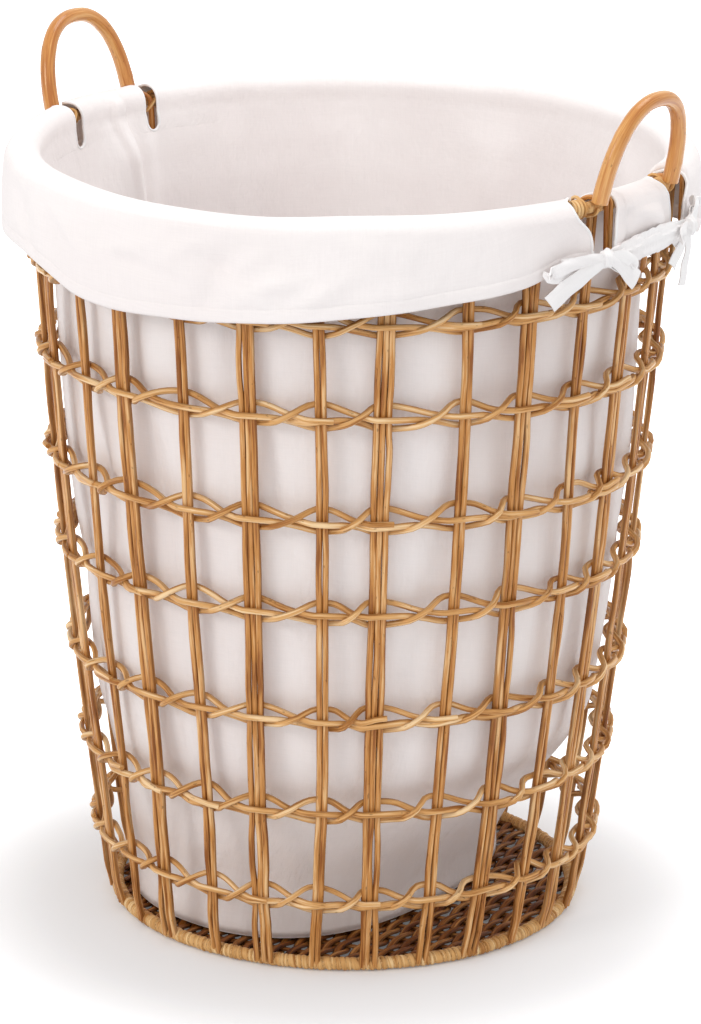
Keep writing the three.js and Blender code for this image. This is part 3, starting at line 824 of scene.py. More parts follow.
# %% [markdown]
# ## Handles
# A handle is one thick peeled rod bent to an arch that stands on the rim hoop and leans out.
# Its ends are cut down to thin tongues, which cross the hoop and run down inside it. The rod
# has a few joints, where it is a little thicker, and it is thinner at the top than at the legs.
# The two handles were bent by hand, so the left one leans out more and stands a little nearer
# to the front. A point of a tongue has its distance from the middle of the basket, its height,
# the thickness of the rod there, and how far the rod has turned from the lashing to the foot.

# %% Bend the handles
LEGS = {"right_front": -LEG_ANGLE, "right_back": LEG_ANGLE,
        "left_back": 180 - LEG_ANGLE, "left_front": 180 + LEG_ANGLE}
FOOT_HEIGHT = 0.562
HANDLE_RISE = 0.0666
HANDLE_HALF_SPAN = 0.044
HANDLE_SQUARENESS = 2.35
HANDLE_SKEW = 0.0015
HANDLE_RADIUS = 0.0059
THINNING = 0.0005
JOINTS = (0.047, 0.121, 0.166)  # from the front foot, along the rod
JOINT_SWELLING = 0.030
JOINT_HALF = 0.0022
TONGUE_TOP = 0.0020
TONGUE = [(0.2226, 0.4945, 0.0022, 0), (0.2257, 0.529, 0.0024, 0), (0.2278, 0.552, 0.0025, 0),
          (0.2284, 0.5590, 0.0022, 0), (0.2304, 0.5630, 0.0017, 0.3), (0.2345, 0.5648, 0.0016, 0.65)]


def bend_handle(name, side, foot_out, to_front, lean):
    """side is 1 on the right and -1 on the left; the sizes are in metres and radians."""
    bends = np.linspace(0, math.pi, 61)
    level, upright = np.cos(bends), np.sin(bends).clip(0, 1)
    across = -np.sign(level) * np.abs(level) ** (2 / HANDLE_SQUARENESS)
    rise = HANDLE_RISE * upright ** (2 / HANDLE_SQUARENESS)
    keys = np.column_stack([side * (foot_out + rise * math.sin(lean)),
                            across * HANDLE_HALF_SPAN + HANDLE_SKEW * rise / HANDLE_RISE - to_front,
                            FOOT_HEIGHT + rise * math.cos(lean)])
    key_places = distances(keys)
    places = np.linspace(0, key_places[-1], 170)
    arch = glide(places, key_places, keys)
    radii = HANDLE_RADIUS - THINNING * np.sin(places / places[-1] * math.pi)
    for joint in JOINTS:
        radii = radii * (1 + JOINT_SWELLING * np.exp(-((places - joint) / JOINT_HALF) ** 2))
    radii = radii * (1 + wander(places, 0.04, 0.010))
    facing = (side * math.cos(lean), 0, -math.sin(lean))
    rods = [bend_rod(arch, radii, facing, 16)]
    for end, foot, above in (("front", arch[0], arch[3]), ("back", arch[-1], arch[-4])):
        leg_angle = math.radians(LEGS[f"{name}_{end}"])
        turn = turn_between(math.atan2(foot[1], foot[0]), leg_angle)
        path = [polar(radius, leg_angle + share * turn, height) for radius, height, _, share in TONGUE]
        radii = [thickness for _, _, thickness, _ in TONGUE] + [TONGUE_TOP]
        knots = np.arange(len(radii))
        steps = np.linspace(0, knots[-1], 60)
        tongue = glide(steps, knots, np.array([*path, above]))
        rods.append(bend_rod(tongue, glide(steps, knots, radii), facing, 12))
    piece = bundle(f"handle_rod_{name}", rods, handle_finish, 60)
    stand_for(piece, f"handle_{name}", "basket")
    return key_places[-1]


length = bend_handle("right", 1, 0.2385, 0.0, math.radians(12.5))
bend_handle("left", -1, 0.2390, 0.004, math.radians(15))
print("length of a handle's arch:", round(float(length), 3), "m")

# %% [markdown]
# ## Lashings
# At each leg a strip of cane winds round the rim hoop and then crosses over the tongue of the
# handle, and pulls it tight to the hoop. Four legs have the same lashing, on the side of the
# leg that has room for it.

# %% Lash the handles to the hoop
LASH_TURNS = 4
LASH_PITCH = 0.0029
LASH_OFFSET = 0.0052
LASH_CROSSING = 0.17  # share of a turn in which the cane crosses over the tongue
LASH_CANE = 0.00125
ROUND_HOOP = 0.0055
ROUND_TONGUE = 0.0105


def lashing_path(leg, coil_side):
    """Turns round the hoop on one side of the leg, the last of them over the tongue."""
    points = []
    crossing = LASH_TURNS - 0.5
    coil_end = crossing - LASH_CROSSING
    for turns in np.linspace(0, LASH_TURNS, LASH_TURNS * 30 + 1):
        from_tongue = turns - crossing
        past = min(max(from_tongue / LASH_CROSSING + 0.5, 0), 1)
        coil = -LASH_OFFSET - LASH_PITCH * max(coil_end - turns, 0)
        along = coil + (LASH_OFFSET - coil) * past
        over = 1 - ease(abs(from_tongue), 0.5 * LASH_CROSSING, 1.5 * LASH_CROSSING)
        distance = ROUND_HOOP + (ROUND_TONGUE - ROUND_HOOP) * over
        angle = leg + coil_side * along / RIM_HOOP_RADIUS
        bend = turns * 2 * math.pi
        points.append(polar(RIM_HOOP_RADIUS + distance * math.cos(bend), angle,
                            WALL_HEIGHT + distance * math.sin(bend)))
    return np.array(points)


for leg, degrees in LEGS.items():
    steps = (degrees - FIRST_STAKE) / STAKE_STEP
    coil_side = 1 if round(steps) > steps else -1
    angle = math.radians(degrees)
    cane = bend_rod(lashing_path(angle, coil_side), LASH_CANE, along_rim(angle), 8)
    piece = bundle(f"cane_lashing_{leg}", [cane], wrap_finish)
    stand_for(piece, f"lashing_{leg}", "basket")
print("lashings:", len(LEGS))

# %% [markdown]
# ## Cotton
# The liner is thin unbleached-to-white cotton. Close up it is a plain weave with thicker
# threads here and there; from further off it shows soft crumples. The weave must lie along
# the cloth, so each cotton piece carries a `thread` attribute: metres along the cloth, metres
# up the cloth, and the distance from the hem, which places the crease above it.

# %% Make the cotton finish
THREAD_PITCH = 0.00060
HEM_DEPTH = 0.0090
CREASE_HALF = 0.0016


def cotton_finish(name, dark, light):
    """Plain weave with slubs and crumples, and a soft crease along the hem."""
    finish = Finish(name)
    thread = finish.node("Attribute", output="Vector", attribute_name="thread")
    along = finish.node("SeparateXYZ", {0: thread}, output="X")
    upward = finish.node("SeparateXYZ", {0: thread}, output="Y")
    from_hem = finish.node("SeparateXYZ", {0: thread}, output="Z")
    turns = 2 * math.pi / THREAD_PITCH
    weave = (along * turns).sine() * 0.5 + (upward * turns).sine() * 0.5
    slubs = (finish.noise(thread, (40, 1300, 0), 1) + finish.noise(thread, (1300, 40, 0), 1)) * 0.5
    crumple = finish.noise(thread, (46, 24, 0), 4, 0.6)
    soft = finish.noise(thread, (7, 5, 0), 2)
    crease = 1 - ((from_hem - HEM_DEPTH) / CREASE_HALF).size().between(0.1, 1.0)
    relief = finish.bump(weave * 0.10 + slubs * 0.25, 0.0006, 0.7)
    inputs = {"Height": crumple - crease * 0.12, "Distance": 0.0024, "Strength": 0.75,
              "Normal": relief}
    relief = finish.node("Bump", inputs)
    colour = finish.mix(soft.between(0.35, 0.65), (*dark, 1), (*light, 1))
    shade = 1.0 + (slubs - 0.5) * 0.10
    grey = finish.node("CombineXYZ", {0: shade, 1: shade, 2: shade})
    colour = finish.mix(1.0, colour, grey, "MULTIPLY")
    finish.shader.inputs["Sheen Weight"].default_value = 0.12
    finish.shader.inputs["Sheen Roughness"].default_value = 0.5
    finish.shader.inputs["Specular IOR Level"].default_value = 0.2
    return finish.finish(Base_Color=colour, Roughness=0.86 + slubs * 0.1, Normal=relief)


cotton = cotton_finish("white_cotton", (0.905, 0.845, 0.832), (0.940, 0.888, 0.875))
tape_cotton = cotton_finish("tape_cotton", (0.93, 0.90, 0.895), (0.96, 0.945, 0.94))
print("cotton is ready")

# %% [markdown]
# ## The liner
# The bag stands inside the wall. It is empty, so its lower part has slumped to the left, and
# its top is folded out over the rim. Four slots let the legs of the handles through: between
# them are two long cuffs, at the front and the back, and two short tabs, inside the handles.
# Cloth simulation could drape such a bag, but here the fold, the slots and the hem have known
# places, so the sheet is laid out row by row and column by column, as a pattern cutter would,
# and the folds are added as pleats that run where the photograph shows them.

# %% Sizes of the liner
CLOTH = 0.0012
BAG_FLOOR = 0.0084
BAG_BOTTOM_HALF_LENGTH = 0.125
BAG_BOTTOM_HALF_WIDTH = 0.158
BAG_BOTTOM_REACH = 0.1615
BAG_SHIFT = 0.038
BOTTOM_SQUARENESS = 2.5
SLUMP_HEIGHT = 0.170
MOUTH_RADIUS = 0.2215
ABOVE_ROWS = 0.498
SLOT_FLOOR = 0.538
SLOT_HALF = 0.0065
TAB_HEM = 0.524
FAR_FROM_HEM = 0.5
# directions in degrees
SLOTS = {"right_front": -LEG_ANGLE, "right_back": LEG_ANGLE, "left_back": 169.6,
         "left_front": 191.6}
# degrees: how far the fold lies below its height at the back, in millimetres
FRONT_DROPS = {-168: 0.5, -160: 1.5, -150: 3.2, -140: 4.6, -121: 5.8, -107: 6.2, -60: 6.2,
               -30: 6.0, -12: 5.8}
TAB_DROP = 5.4
# degrees: height of the hem of the front cuff, in millimetres; the back cuff mirrors it
FRONT_HEM = {-164: 518, -158: 512, -150: 507, -140: 505, -130: 504, -116: 502, -109: 497,
             -103: 491, -96: 488, -85: 488, -78: 489, -70: 492, -62: 494, -54: 497, -46: 501,
             -38: 506, -30: 510, -22.6: 515, -18.6: 520, -15: 522}
TUCK_ANGLE = 180.0
TUCK_SLOPE = 0.20
TUCK_HALF = 0.0075
TUCK_EDGE = 0.0025
TUCK_SOFT_EDGE = 0.006
TUCK_DEPTH = 0.0055
TUCK_FOOT = 0.36
# the distances from the middle at which angles are turned into lengths
PLEAT_RADIUS = 0.2
TUCK_RADIUS = 0.2216
THREAD_RADIUS = 0.2225
SLOT_RADIUS = 0.235
WAVE_RADIUS = 0.24
CUFF_RADIUS = 0.2463


def pleat(angle, height, reach, width, depth, slope):
    return {"angle": angle, "height": height, "reach": reach, "width": width, "depth": depth,
            "slope": slope}


def crease(angle, height, way, reach, width, lift):
    return {"angle": angle, "height": height, "way": way, "reach": reach, "width": width,
            "lift": lift}


pleats = [pleat(chance.uniform(-math.pi, math.pi), chance.uniform(0.06, 0.50),
                chance.uniform(0.07, 0.28), chance.uniform(0.007, 0.024),
                chance.uniform(0.0010, 0.0048), chance.normal(0, 0.35)) for _ in range(46)]
pleats.append(pleat(math.radians(178.0), 0.46, 0.22, 0.012, 0.0095, 0.05))
pleats.append(pleat(math.radians(171.5), 0.50, 0.12, 0.006, 0.0050, -0.02))
pleats.append(pleat(math.radians(150), 0.44, 0.15, 0.008, 0.0030, 0.04))
cuff_creases = [crease(chance.uniform(-math.pi, math.pi), chance.uniform(0.505, 0.552),
                       chance.uniform(-1.2, 1.2), chance.uniform(0.010, 0.036),
                       chance.uniform(0.0045, 0.0100), chance.normal(0, 0.0017))
                for _ in range(90)]
for degrees, height, way, reach, lift in (
        (-92, 0.531, 0.25, 0.030, 0.0026), (-88, 0.522, -0.15, 0.034, -0.0022),
        (-80, 0.538, 0.50, 0.022, 0.0022), (-74, 0.527, -0.40, 0.026, -0.0024),
        (-69, 0.533, 0.70, 0.020, 0.0022), (-66, 0.518, 0.20, 0.024, 0.0020),
        (-47.5, 0.530, 1.50, 0.016, -0.0026), (-46, 0.533, 1.45, 0.015, 0.0020),
        (-60, 0.540, 1.30, 0.014, -0.0018), (-106, 0.540, -0.60, 0.026, 0.0024)):
    cuff_creases.append(crease(math.radians(degrees), height, way, reach, 0.0052, lift))


def bag_radius(height):
    """Distance of the cloth from the middle: just inside the rows, and close to the rim."""
    inside_rows = wall_radius(height) - 0.0095
    share = np.clip((height - ABOVE_ROWS) / (WALL_HEIGHT - ABOVE_ROWS), 0, 1)
    return inside_rows + (MOUTH_RADIUS - inside_rows) * share


def bottom_radius(angle):
    """Edge of the bag's bottom from its own middle: a squarish oval that the hoop holds in."""
    long_way = np.abs(np.cos(angle) / BAG_BOTTOM_HALF_LENGTH) ** BOTTOM_SQUARENESS
    wide_way = np.abs(np.sin(angle) / BAG_BOTTOM_HALF_WIDTH) ** BOTTOM_SQUARENESS
    oval = (long_way + wide_way) ** (-1 / BOTTOM_SQUARENESS)
    along = BAG_SHIFT * np.cos(angle)
    to_hoop = along + np.sqrt(along ** 2 + BAG_BOTTOM_REACH ** 2 - BAG_SHIFT ** 2)
    return (oval ** -12 + to_hoop ** -12) ** (-1 / 12)


def pleat_depth(angle, height):
    """How far the folds draw the cloth inwards."""
    depth = np.zeros(np.broadcast(angle, height).shape)
    for fold in pleats:
        up = height - fold["height"]
        # a sloping pleat runs away to one side as it goes up
        away = turn_between(angle, fold["angle"]) * PLEAT_RADIUS - fold["slope"] * up
        fade = np.exp(-(up / fold["reach"]) ** 2)
        depth = depth + fold["depth"] * fade * np.exp(-(away / fold["width"]) ** 2)
    billow = 0.0016 * (1 + np.sin(3 * angle + 9 * height) * np.sin(7 * angle - 14 * height + 2))
    return depth + billow


def tuck_depth(angle, height):
    """A flat tuck that hangs from the fold on the left tab, with one sharp edge."""
    aside = turn_between(angle, math.radians(TUCK_ANGLE)) * TUCK_RADIUS
    aside = aside + TUCK_SLOPE * (0.56 - height)
    sharp = ease(aside, -TUCK_HALF, -TUCK_HALF + TUCK_EDGE)
    soft = 1 - ease(aside, TUCK_HALF - TUCK_SOFT_EDGE, TUCK_HALF)
    return TUCK_DEPTH * sharp * soft * ease(height, TUCK_FOOT, TUCK_FOOT + 0.12)


def crease_lift(angle, height):
    """How far the creases of a cuff lift the cloth outwards."""
    lift = np.zeros(np.shape(angle))
    for fold in cuff_creases:
        across = turn_between(angle, fold["angle"]) * CUFF_RADIUS
        up = height - fold["height"]
        along = across * math.cos(fold["way"]) + up * math.sin(fold["way"])
        aside = up * math.cos(fold["way"]) - across * math.sin(fold["way"])
        ridge = np.exp(-(along / fold["reach"]) ** 2 - (aside / fold["width"]) ** 2)
        lift = lift + fold["lift"] * ridge
    return lift


def crest_drop(angle):
    """How far the fold lies below its height at the back: in front and on the right tab."""
    degrees = np.degrees(turn_between(angle, 0))
    knots = sorted(FRONT_DROPS)
    front = glide(degrees, knots, [FRONT_DROPS[knot] * MM for knot in knots])
    right_tab = TAB_DROP * MM * (np.abs(degrees) < LEG_ANGLE + 0.01)
    in_front = (degrees < -LEG_ANGLE - 0.01) & (degrees > -168.5)
    return np.where(in_front, front + rim_sag(angle), right_tab)


def hem_height(angle):
    """Height of the hem of a cuff."""
    degrees = -np.abs(np.degrees(turn_between(angle, 0)))
    knots = sorted(FRONT_HEM)
    return glide(degrees, knots, [FRONT_HEM[knot] * MM for knot in knots])


print("pleats:", len(pleats))

# %% [markdown]
# The sheet is made of four panels that meet at the legs. A panel's rows run round the basket
# and its columns run from the bottom seam up the inside, over the fold and down to the hem.
# Near a leg the columns are pushed aside to open the slot. Below the slots the panels share
# their edges, and merging them closes the bag.

# %% Lay out the side of the liner
inner_heights = np.concatenate([np.linspace(BAG_FLOOR, 0.165, 34), np.linspace(0.172, 0.500, 44),
                                np.linspace(0.505, 0.535, 7),
                                SLOT_FLOOR + np.array([0, 0.3, 0.9, 1.9, 3.3, 5.0, 7.4, 10.0]) * MM])
crest_keys = np.array([(0.2216, 0.548), (0.2217, 0.5575), (0.2229, 0.5638), (0.2268, 0.5684),
                       (0.2328, 0.5700), (0.2392, 0.5690), (0.2438, 0.5654), (0.2463, 0.5600)])
CREST_FOOT = 0.548
CREST_RISE = 0.022
crest_places = np.linspace(0, len(crest_keys) - 1, 20)[1:]
crest_line = glide(crest_places, range(len(crest_keys)), crest_keys)
cuff_shares = np.linspace(0, 1, 18)[1:-1]
HEM_STEPS = np.array([0.0125, 0.0106, 0.0098, 0.0090, 0.0078, 0.0050, 0.0024, 0.0009, 0.0])
TAB_COLUMNS = 50
CUFF_COLUMNS = 150
CROWDING = 0.495  # how much closer the columns of a cuff stand at its ends and in its middle
TAB_SPREAD = 0.030  # how far from a slot the columns are pushed aside
CUFF_SPREAD = 0.085
# how far the cloth outside the rim leaves a straight line down: outwards at half its height,
# inwards at the hem of a tab, outwards where it is double, and inwards at the line of stitches
# and at its edge
CUFF_BULGE = 0.0016
TAB_HEM_IN = 0.0016
HEM_OUT = 0.0005
STITCH_IN = 0.0003
STITCH_LINE = 0.0100
STITCH_HALF = 0.0012
EDGE_IN = 0.0009
EDGE_ROUND = 0.0012
# half widths of the slots outside the rim, in millimetres, at these heights: towards the tab
# and towards the cuff
OPENING_HEIGHTS = [0.524, 0.534, 0.545, 0.556, 0.566]
OPENINGS = {"right_front": ([12.5, 14.0, 16.5, 19.0, 20.5], [6.5, 7.5, 9.5, 19.5, 21.5]),
            "right_back": ([12.5, 14.0, 16.5, 19.0, 20.5], [6.5, 7.5, 9.5, 19.5, 21.5]),
            "left_back": ([10.8, 11.2, 12.3, 14.3, 17.0], [3.4, 3.4, 3.4, 3.0, 3.0]),
            "left_front": ([9.4, 9.8, 10.8, 12.8, 15.0], [7.8, 7.8, 7.2, 5.6, 4.4])}


def slot_opening(leg, height, radius, outside, is_tab):
    """How far the edge of a panel stands from the middle of the slot.

    Outside, the slot is wide enough for the leg to pass when the liner is lifted."""
    below = np.clip((SLOT_FLOOR + SLOT_HALF - height) / SLOT_HALF, 0, 1)
    inside_gap = SLOT_HALF * np.sqrt(1 - below ** 2) * ease(height, SLOT_FLOOR, SLOT_FLOOR + 0.0001)
    beside_tab, beside_cuff = OPENINGS[leg]
    gaps = [gap * MM for gap in (beside_tab if is_tab else beside_cuff)]
    outside_gap = glide(height, OPENING_HEIGHTS, gaps)
    share = ease(radius, 0.2375, 0.2438) if "left" in leg and outside > 0 else outside
    return inside_gap + (outside_gap - inside_gap) * share


class Panel:
    """The cloth between two legs, laid out row by row from the bottom seam to the hem."""

    def __init__(self, start_leg, stop_leg, is_tab):
        self.legs = start_leg, stop_leg
        self.is_tab = is_tab
        start, stop = SLOTS[start_leg], SLOTS[stop_leg]
        if stop < start:
            stop += 360
        columns = TAB_COLUMNS if is_tab else CUFF_COLUMNS
        share = np.linspace(0, 1, columns + 1)
        if not is_tab:
            share = share - CROWDING * np.sin(4 * math.pi * share) / (4 * math.pi)
        self.angles = np.radians(start + (stop - start) * share)
        spread = TAB_SPREAD if is_tab else CUFF_SPREAD
        from_first = (self.angles - self.angles[0]) * SLOT_RADIUS
        from_last = (self.angles[-1] - self.angles) * SLOT_RADIUS
        self.near_first = np.exp(-(from_first / spread) ** 2 * 2)
        self.near_last = np.exp(-(from_last / spread) ** 2 * 2)
        hem = np.full(columns + 1, TAB_HEM) if is_tab else hem_height(self.angles)
        self.wave = wander(self.angles * WAVE_RADIUS, 0.045, 0.0011)
        self.crest_wave = wander(self.angles * WAVE_RADIUS, 0.060, 0.0005)
        self.lowered = 1 - crest_drop(self.angles) / CREST_RISE
        self.crest_end = CREST_FOOT + (crest_line[-1][1] - CREST_FOOT) * self.lowered
        self.hanging = self.crest_end - hem

    def pushed_aside(self, height, radius, outside):
        """The directions of the columns, moved away from the slots at both ends."""
        first_gap, last_gap = (slot_opening(leg, height, radius, outside, self.is_tab)
                               for leg in self.legs)
        return self.angles + (first_gap * self.near_first - last_gap * self.near_last) / radius

    def inner_row(self, level):
        """A row inside the basket; the lower ones have slumped to the left."""
        height = np.full(len(self.angles), level)
        slump = 1 - ease(level, BAG_FLOOR, SLUMP_HEIGHT)
        radius = bag_radius(level) + (bottom_radius(self.angles) - bag_radius(level)) * slump
        settle = ease(level, BAG_FLOOR, 0.035) * (1 - ease(level, 0.520, 0.556))
        moved = self.pushed_aside(height, radius, 0.0)
        radius = radius - pleat_depth(moved, level) * settle - tuck_depth(moved, level)
        points = polar(radius, self.pushed_aside(height, radius, 0.0), height)
        points[:, 0] -= BAG_SHIFT * slump
        return points

    def crest_row(self, index):
        """A row of the fold over the rim."""
        reach, top = crest_line[index]
        radius = np.full(len(self.angles), reach)
        height = CREST_FOOT + (top - CREST_FOOT) * self.lowered
        height = height + self.crest_wave * ease(index, 3, 9)
        outside = float(ease(reach, 0.2225, 0.2400))
        moved = self.pushed_aside(height, radius, outside)
        radius = radius - tuck_depth(moved, CREST_FOOT) * (1 - ease(reach, 0.2220, 0.2330))
        return polar(radius, self.pushed_aside(height, radius, outside), height)

    def hanging_row(self, along, from_hem=FAR_FROM_HEM):
        """A row outside the rim, `along` below the end of the fold."""
        height = self.crest_end + self.crest_wave - along
        part = along / self.hanging
        bulge = CUFF_BULGE * np.sin(part * math.pi) + 0.0003
        radius = crest_line[-1][0] + bulge + self.wave * part
        fade = ease(part, 0.04, 0.22) * (1 - ease(part, 0.78, 0.97))
        radius = radius + crease_lift(self.angles, height) * fade
        if self.is_tab:
            radius = radius - TAB_HEM_IN * part
        radius = radius + HEM_OUT * (1 - ease(from_hem, 0.0078, 0.0098))
        radius = radius - STITCH_IN * math.exp(-((from_hem - STITCH_LINE) / STITCH_HALF) ** 2)
        radius = radius - EDGE_IN * (1 - ease(from_hem, 0.0, EDGE_ROUND))
        return polar(radius, self.pushed_aside(height, radius, 1.0), height)

    def rows(self):
        """The corners of all rows, and the place of each in the weave of the cloth."""
        rows = [self.inner_row(level) for level in inner_heights]
        rows += [self.crest_row(index) for index in range(len(crest_line))]
        above_hem = self.hanging - HEM_STEPS[0]
        rows += [self.hanging_row(share * above_hem) for share in cuff_shares]
        from_hem = np.append(np.full(len(rows), FAR_FROM_HEM), HEM_STEPS)
        rows += [self.hanging_row(self.hanging - distance, distance) for distance in HEM_STEPS]
        points = np.array(rows)
        threads = np.zeros(points.shape)
        threads[:, :, 0] = self.angles * THREAD_RADIUS
        threads[1:, :, 1] = np.cumsum(np.linalg.norm(np.diff(points, axis=0), axis=2), axis=0)
        threads[:, :, 2] = from_hem[:, None]
        return points, threads


leg_round = [*SLOTS, "right_front"]
panels = []
slot_edges = []
for index in range(4):
    points, threads = Panel(leg_round[index], leg_round[index + 1], index % 2 == 0).rows()
    slot_edges.append((points[:, 0], points[:, -1]))
    last_row, last_column = points.shape[0] - 1, points.shape[1] - 1
    panel, share_round, share_up = new_grid(last_column, last_row)
    row = np.rint(share_up * last_row).astype(int)
    column = np.rint(share_round * last_column).astype(int)
    set_corners(panel.data, points[row, column])
    write_layer(panel.data, "thread", threads[row, column])
    panels.append(panel)
select_only(*panels)
bpy.ops.object.join()
liner = bpy.context.object
liner.name = "liner_side_cloth"
bpy.ops.object.mode_set(mode="EDIT")
bpy.ops.mesh.select_all(action="SELECT")
bpy.ops.mesh.remove_doubles(threshold=1e-6)
bpy.ops.object.mode_set(mode="OBJECT")
thicken(liner, CLOTH)
bpy.ops.object.shade_smooth()
liner.data.materials.append(cotton)

# %% [markdown]
# ## The floor of the bag
# A round piece of cotton closes the bag. It lies on the woven base, and it has a few low
# wrinkles. A square grid is pulled out to a disc, which keeps its faces even right up to the
# edge and leaves no pole in the middle.

# %% Lay the bottom of the liner
FLOOR_COLUMNS = 72
WRINKLES = 9
HIGHEST_WRINKLE = 0.0030
bag_floor, square_x, square_y = new_grid(FLOOR_COLUMNS, FLOOR_COLUMNS)
bag_floor.name = "liner_bottom_cloth"
square_x, square_y = 2 * square_x - 1, 2 * square_y - 1
disc_x = square_x * np.sqrt(1 - square_y ** 2 / 2)
disc_y = square_y * np.sqrt(1 - square_x ** 2 / 2)
edge = np.hypot(disc_x, disc_y)
bottom_edge = bottom_radius(np.arctan2(disc_y, disc_x))
disc_x, disc_y = disc_x * bottom_edge, disc_y * bottom_edge
wrinkle = np.zeros(len(edge))
for _ in range(WRINKLES):
    way = chance.uniform(0, math.pi)
    offset = disc_x * math.cos(way) + disc_y * math.sin(way) - chance.uniform(-0.08, 0.08)
    wrinkle += chance.uniform(0.0006, 0.0018) * np.exp(-(offset / chance.uniform(0.005, 0.010)) ** 2)
wrinkle = np.minimum(wrinkle, HIGHEST_WRINKLE) * (1 - ease(edge, 0.85, 1.0))
floor_heights = BAG_FLOOR - CLOTH / 2 + wrinkle
set_corners(bag_floor.data, np.column_stack([disc_x - BAG_SHIFT, disc_y, floor_heights]))
far = np.full(len(edge), FAR_FROM_HEM)
write_layer(bag_floor.data, "thread", np.column_stack([disc_x, disc_y, far]))
thicken(bag_floor, CLOTH)
bpy.ops.object.shade_smooth()
bag_floor.data.materials.append(cotton)

# %% [markdown]
# ## Bound slots
# The edges of the four slots are bound, so that they don't fray. A binding is a narrow rolled
# strip that follows the cut edge from one hem over the fold, down round the slot and back to
# the other hem. The edges of the panels are at hand, so the strip is bent along them.

# %% Bind the slots
BINDING_RADIUS = 0.0012
slot_floor_row = int(np.searchsorted(inner_heights, SLOT_FLOOR + 0.0002))


def cotton_threads(piece):
    """Threads for a strip that was bent as a rod: along it, and round it."""
    vertices = np.empty(len(piece.data.loops), int)
    piece.data.loops.foreach_get("vertex_index", vertices)
    values = np.empty(len(vertices) * 3)
    piece.data.attributes["grain"].data.foreach_get("vector", values)
    grain = np.empty((len(piece.data.vertices), 3))
    grain[vertices] = values.reshape(-1, 3)
    reach = np.hypot(grain[:, 1], grain[:, 2])
    round_it = np.arctan2(grain[:, 2], grain[:, 1]) * reach
    piece.data.attributes.remove(piece.data.attributes["grain"])
    far = np.full(len(grain), FAR_FROM_HEM)
    write_layer(piece.data, "thread", np.column_stack([grain[:, 0], round_it, far]))
    return piece


for index, leg in enumerate(SLOTS):
    # the slot of a leg lies between the panel that ends there and the one that starts there
    ending = slot_edges[(index - 1) % 4][1]
    starting = slot_edges[index][0]
    path = np.concatenate([ending[slot_floor_row:][::-1], starting[slot_floor_row - 1:]])
    strip = bend_rod(path, BINDING_RADIUS, along_rim(math.radians(SLOTS[leg])), 8)
    cotton_threads(strip)
    piece = bundle(f"slot_binding_{leg}", [strip], tape_cotton, 60)
    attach(piece, "liner")

# %% [markdown]
# ## Ties
# Beside each leg the corner of a cuff and the end of a tab are gathered and tied together with
# flat cotton tape. A tie has a wrapped knot, two loops and two tails. The right front one is
# plain to see: a loop and a tail lie down to the left over the cuff, and a wide tail points
# right. The right back one hangs straighter. Tape is laid as a strip along a few points, with
# a direction that it faces, so it can turn, curl at its edges and end in a square cut.

# %% Tape, gathered cloth and knots
TIE_RADIUS = 0.2520
TIE_HEIGHT = 0.527
TAPE_THICKNESS = 0.0009
TAPE_STEPS = 46
TAPE_CURL = 0.10
TAPE_RIPPLE = 0.35
STRIP_STEPS = 90
STRIP_ROD = 0.005
OUTWARDS = (0, 0, 1)
INWARDS = (0, 0, -1)


def near_leg(degrees, across, up, out):
    """A point beside a leg: millimetres along the rim, upwards and outwards."""
    across, up, out = (np.asarray(value, float) * MM for value in (across, up, out))
    return polar(TIE_RADIUS + out, math.radians(degrees) + across / TIE_RADIUS, TIE_HEIGHT + up)


def tape(degrees, keys, widths, facing=None):
    """Flat tape through keys (across, up, out), with its widths, in millimetres."""
    knots = distances(keys)
    places = np.linspace(0, knots[-1], TAPE_STEPS + 1)
    local = glide(places, knots, keys)
    wide = glide(places, np.linspace(0, knots[-1], len(widths)), widths)
    out_way = unit(glide(places, knots, facing or [OUTWARDS] * len(keys)))
    tangent = unit(np.gradient(local, axis=0))
    side = unit(np.cross(out_way, tangent))
    out_way = np.cross(tangent, side)
    strip, across, upward = new_grid(8, TAPE_STEPS)
    share = (across - 0.5) * 2
    step = np.rint(upward * TAPE_STEPS).astype(int)
    waves = TAPE_RIPPLE * np.sin(3.4 * share + places[step] * 0.33 + chance.uniform(0, 6))
    lift = TAPE_CURL * wide[step] * (0.5 - share ** 2) + waves * (0.4 + 0.6 * np.abs(share))
    aside = share * wide[step] / 2
    corners = local[step] + side[step] * aside[:, None] + out_way[step] * lift[:, None]
    set_corners(strip.data, near_leg(degrees, *corners.T))
    start = chance.uniform(0, 1)
    far = np.full(len(corners), FAR_FROM_HEM)
    threads = np.column_stack([aside * MM, start + places[step] * MM, far])
    write_layer(strip.data, "thread", threads)
    thicken(strip, TAPE_THICKNESS)
    return strip


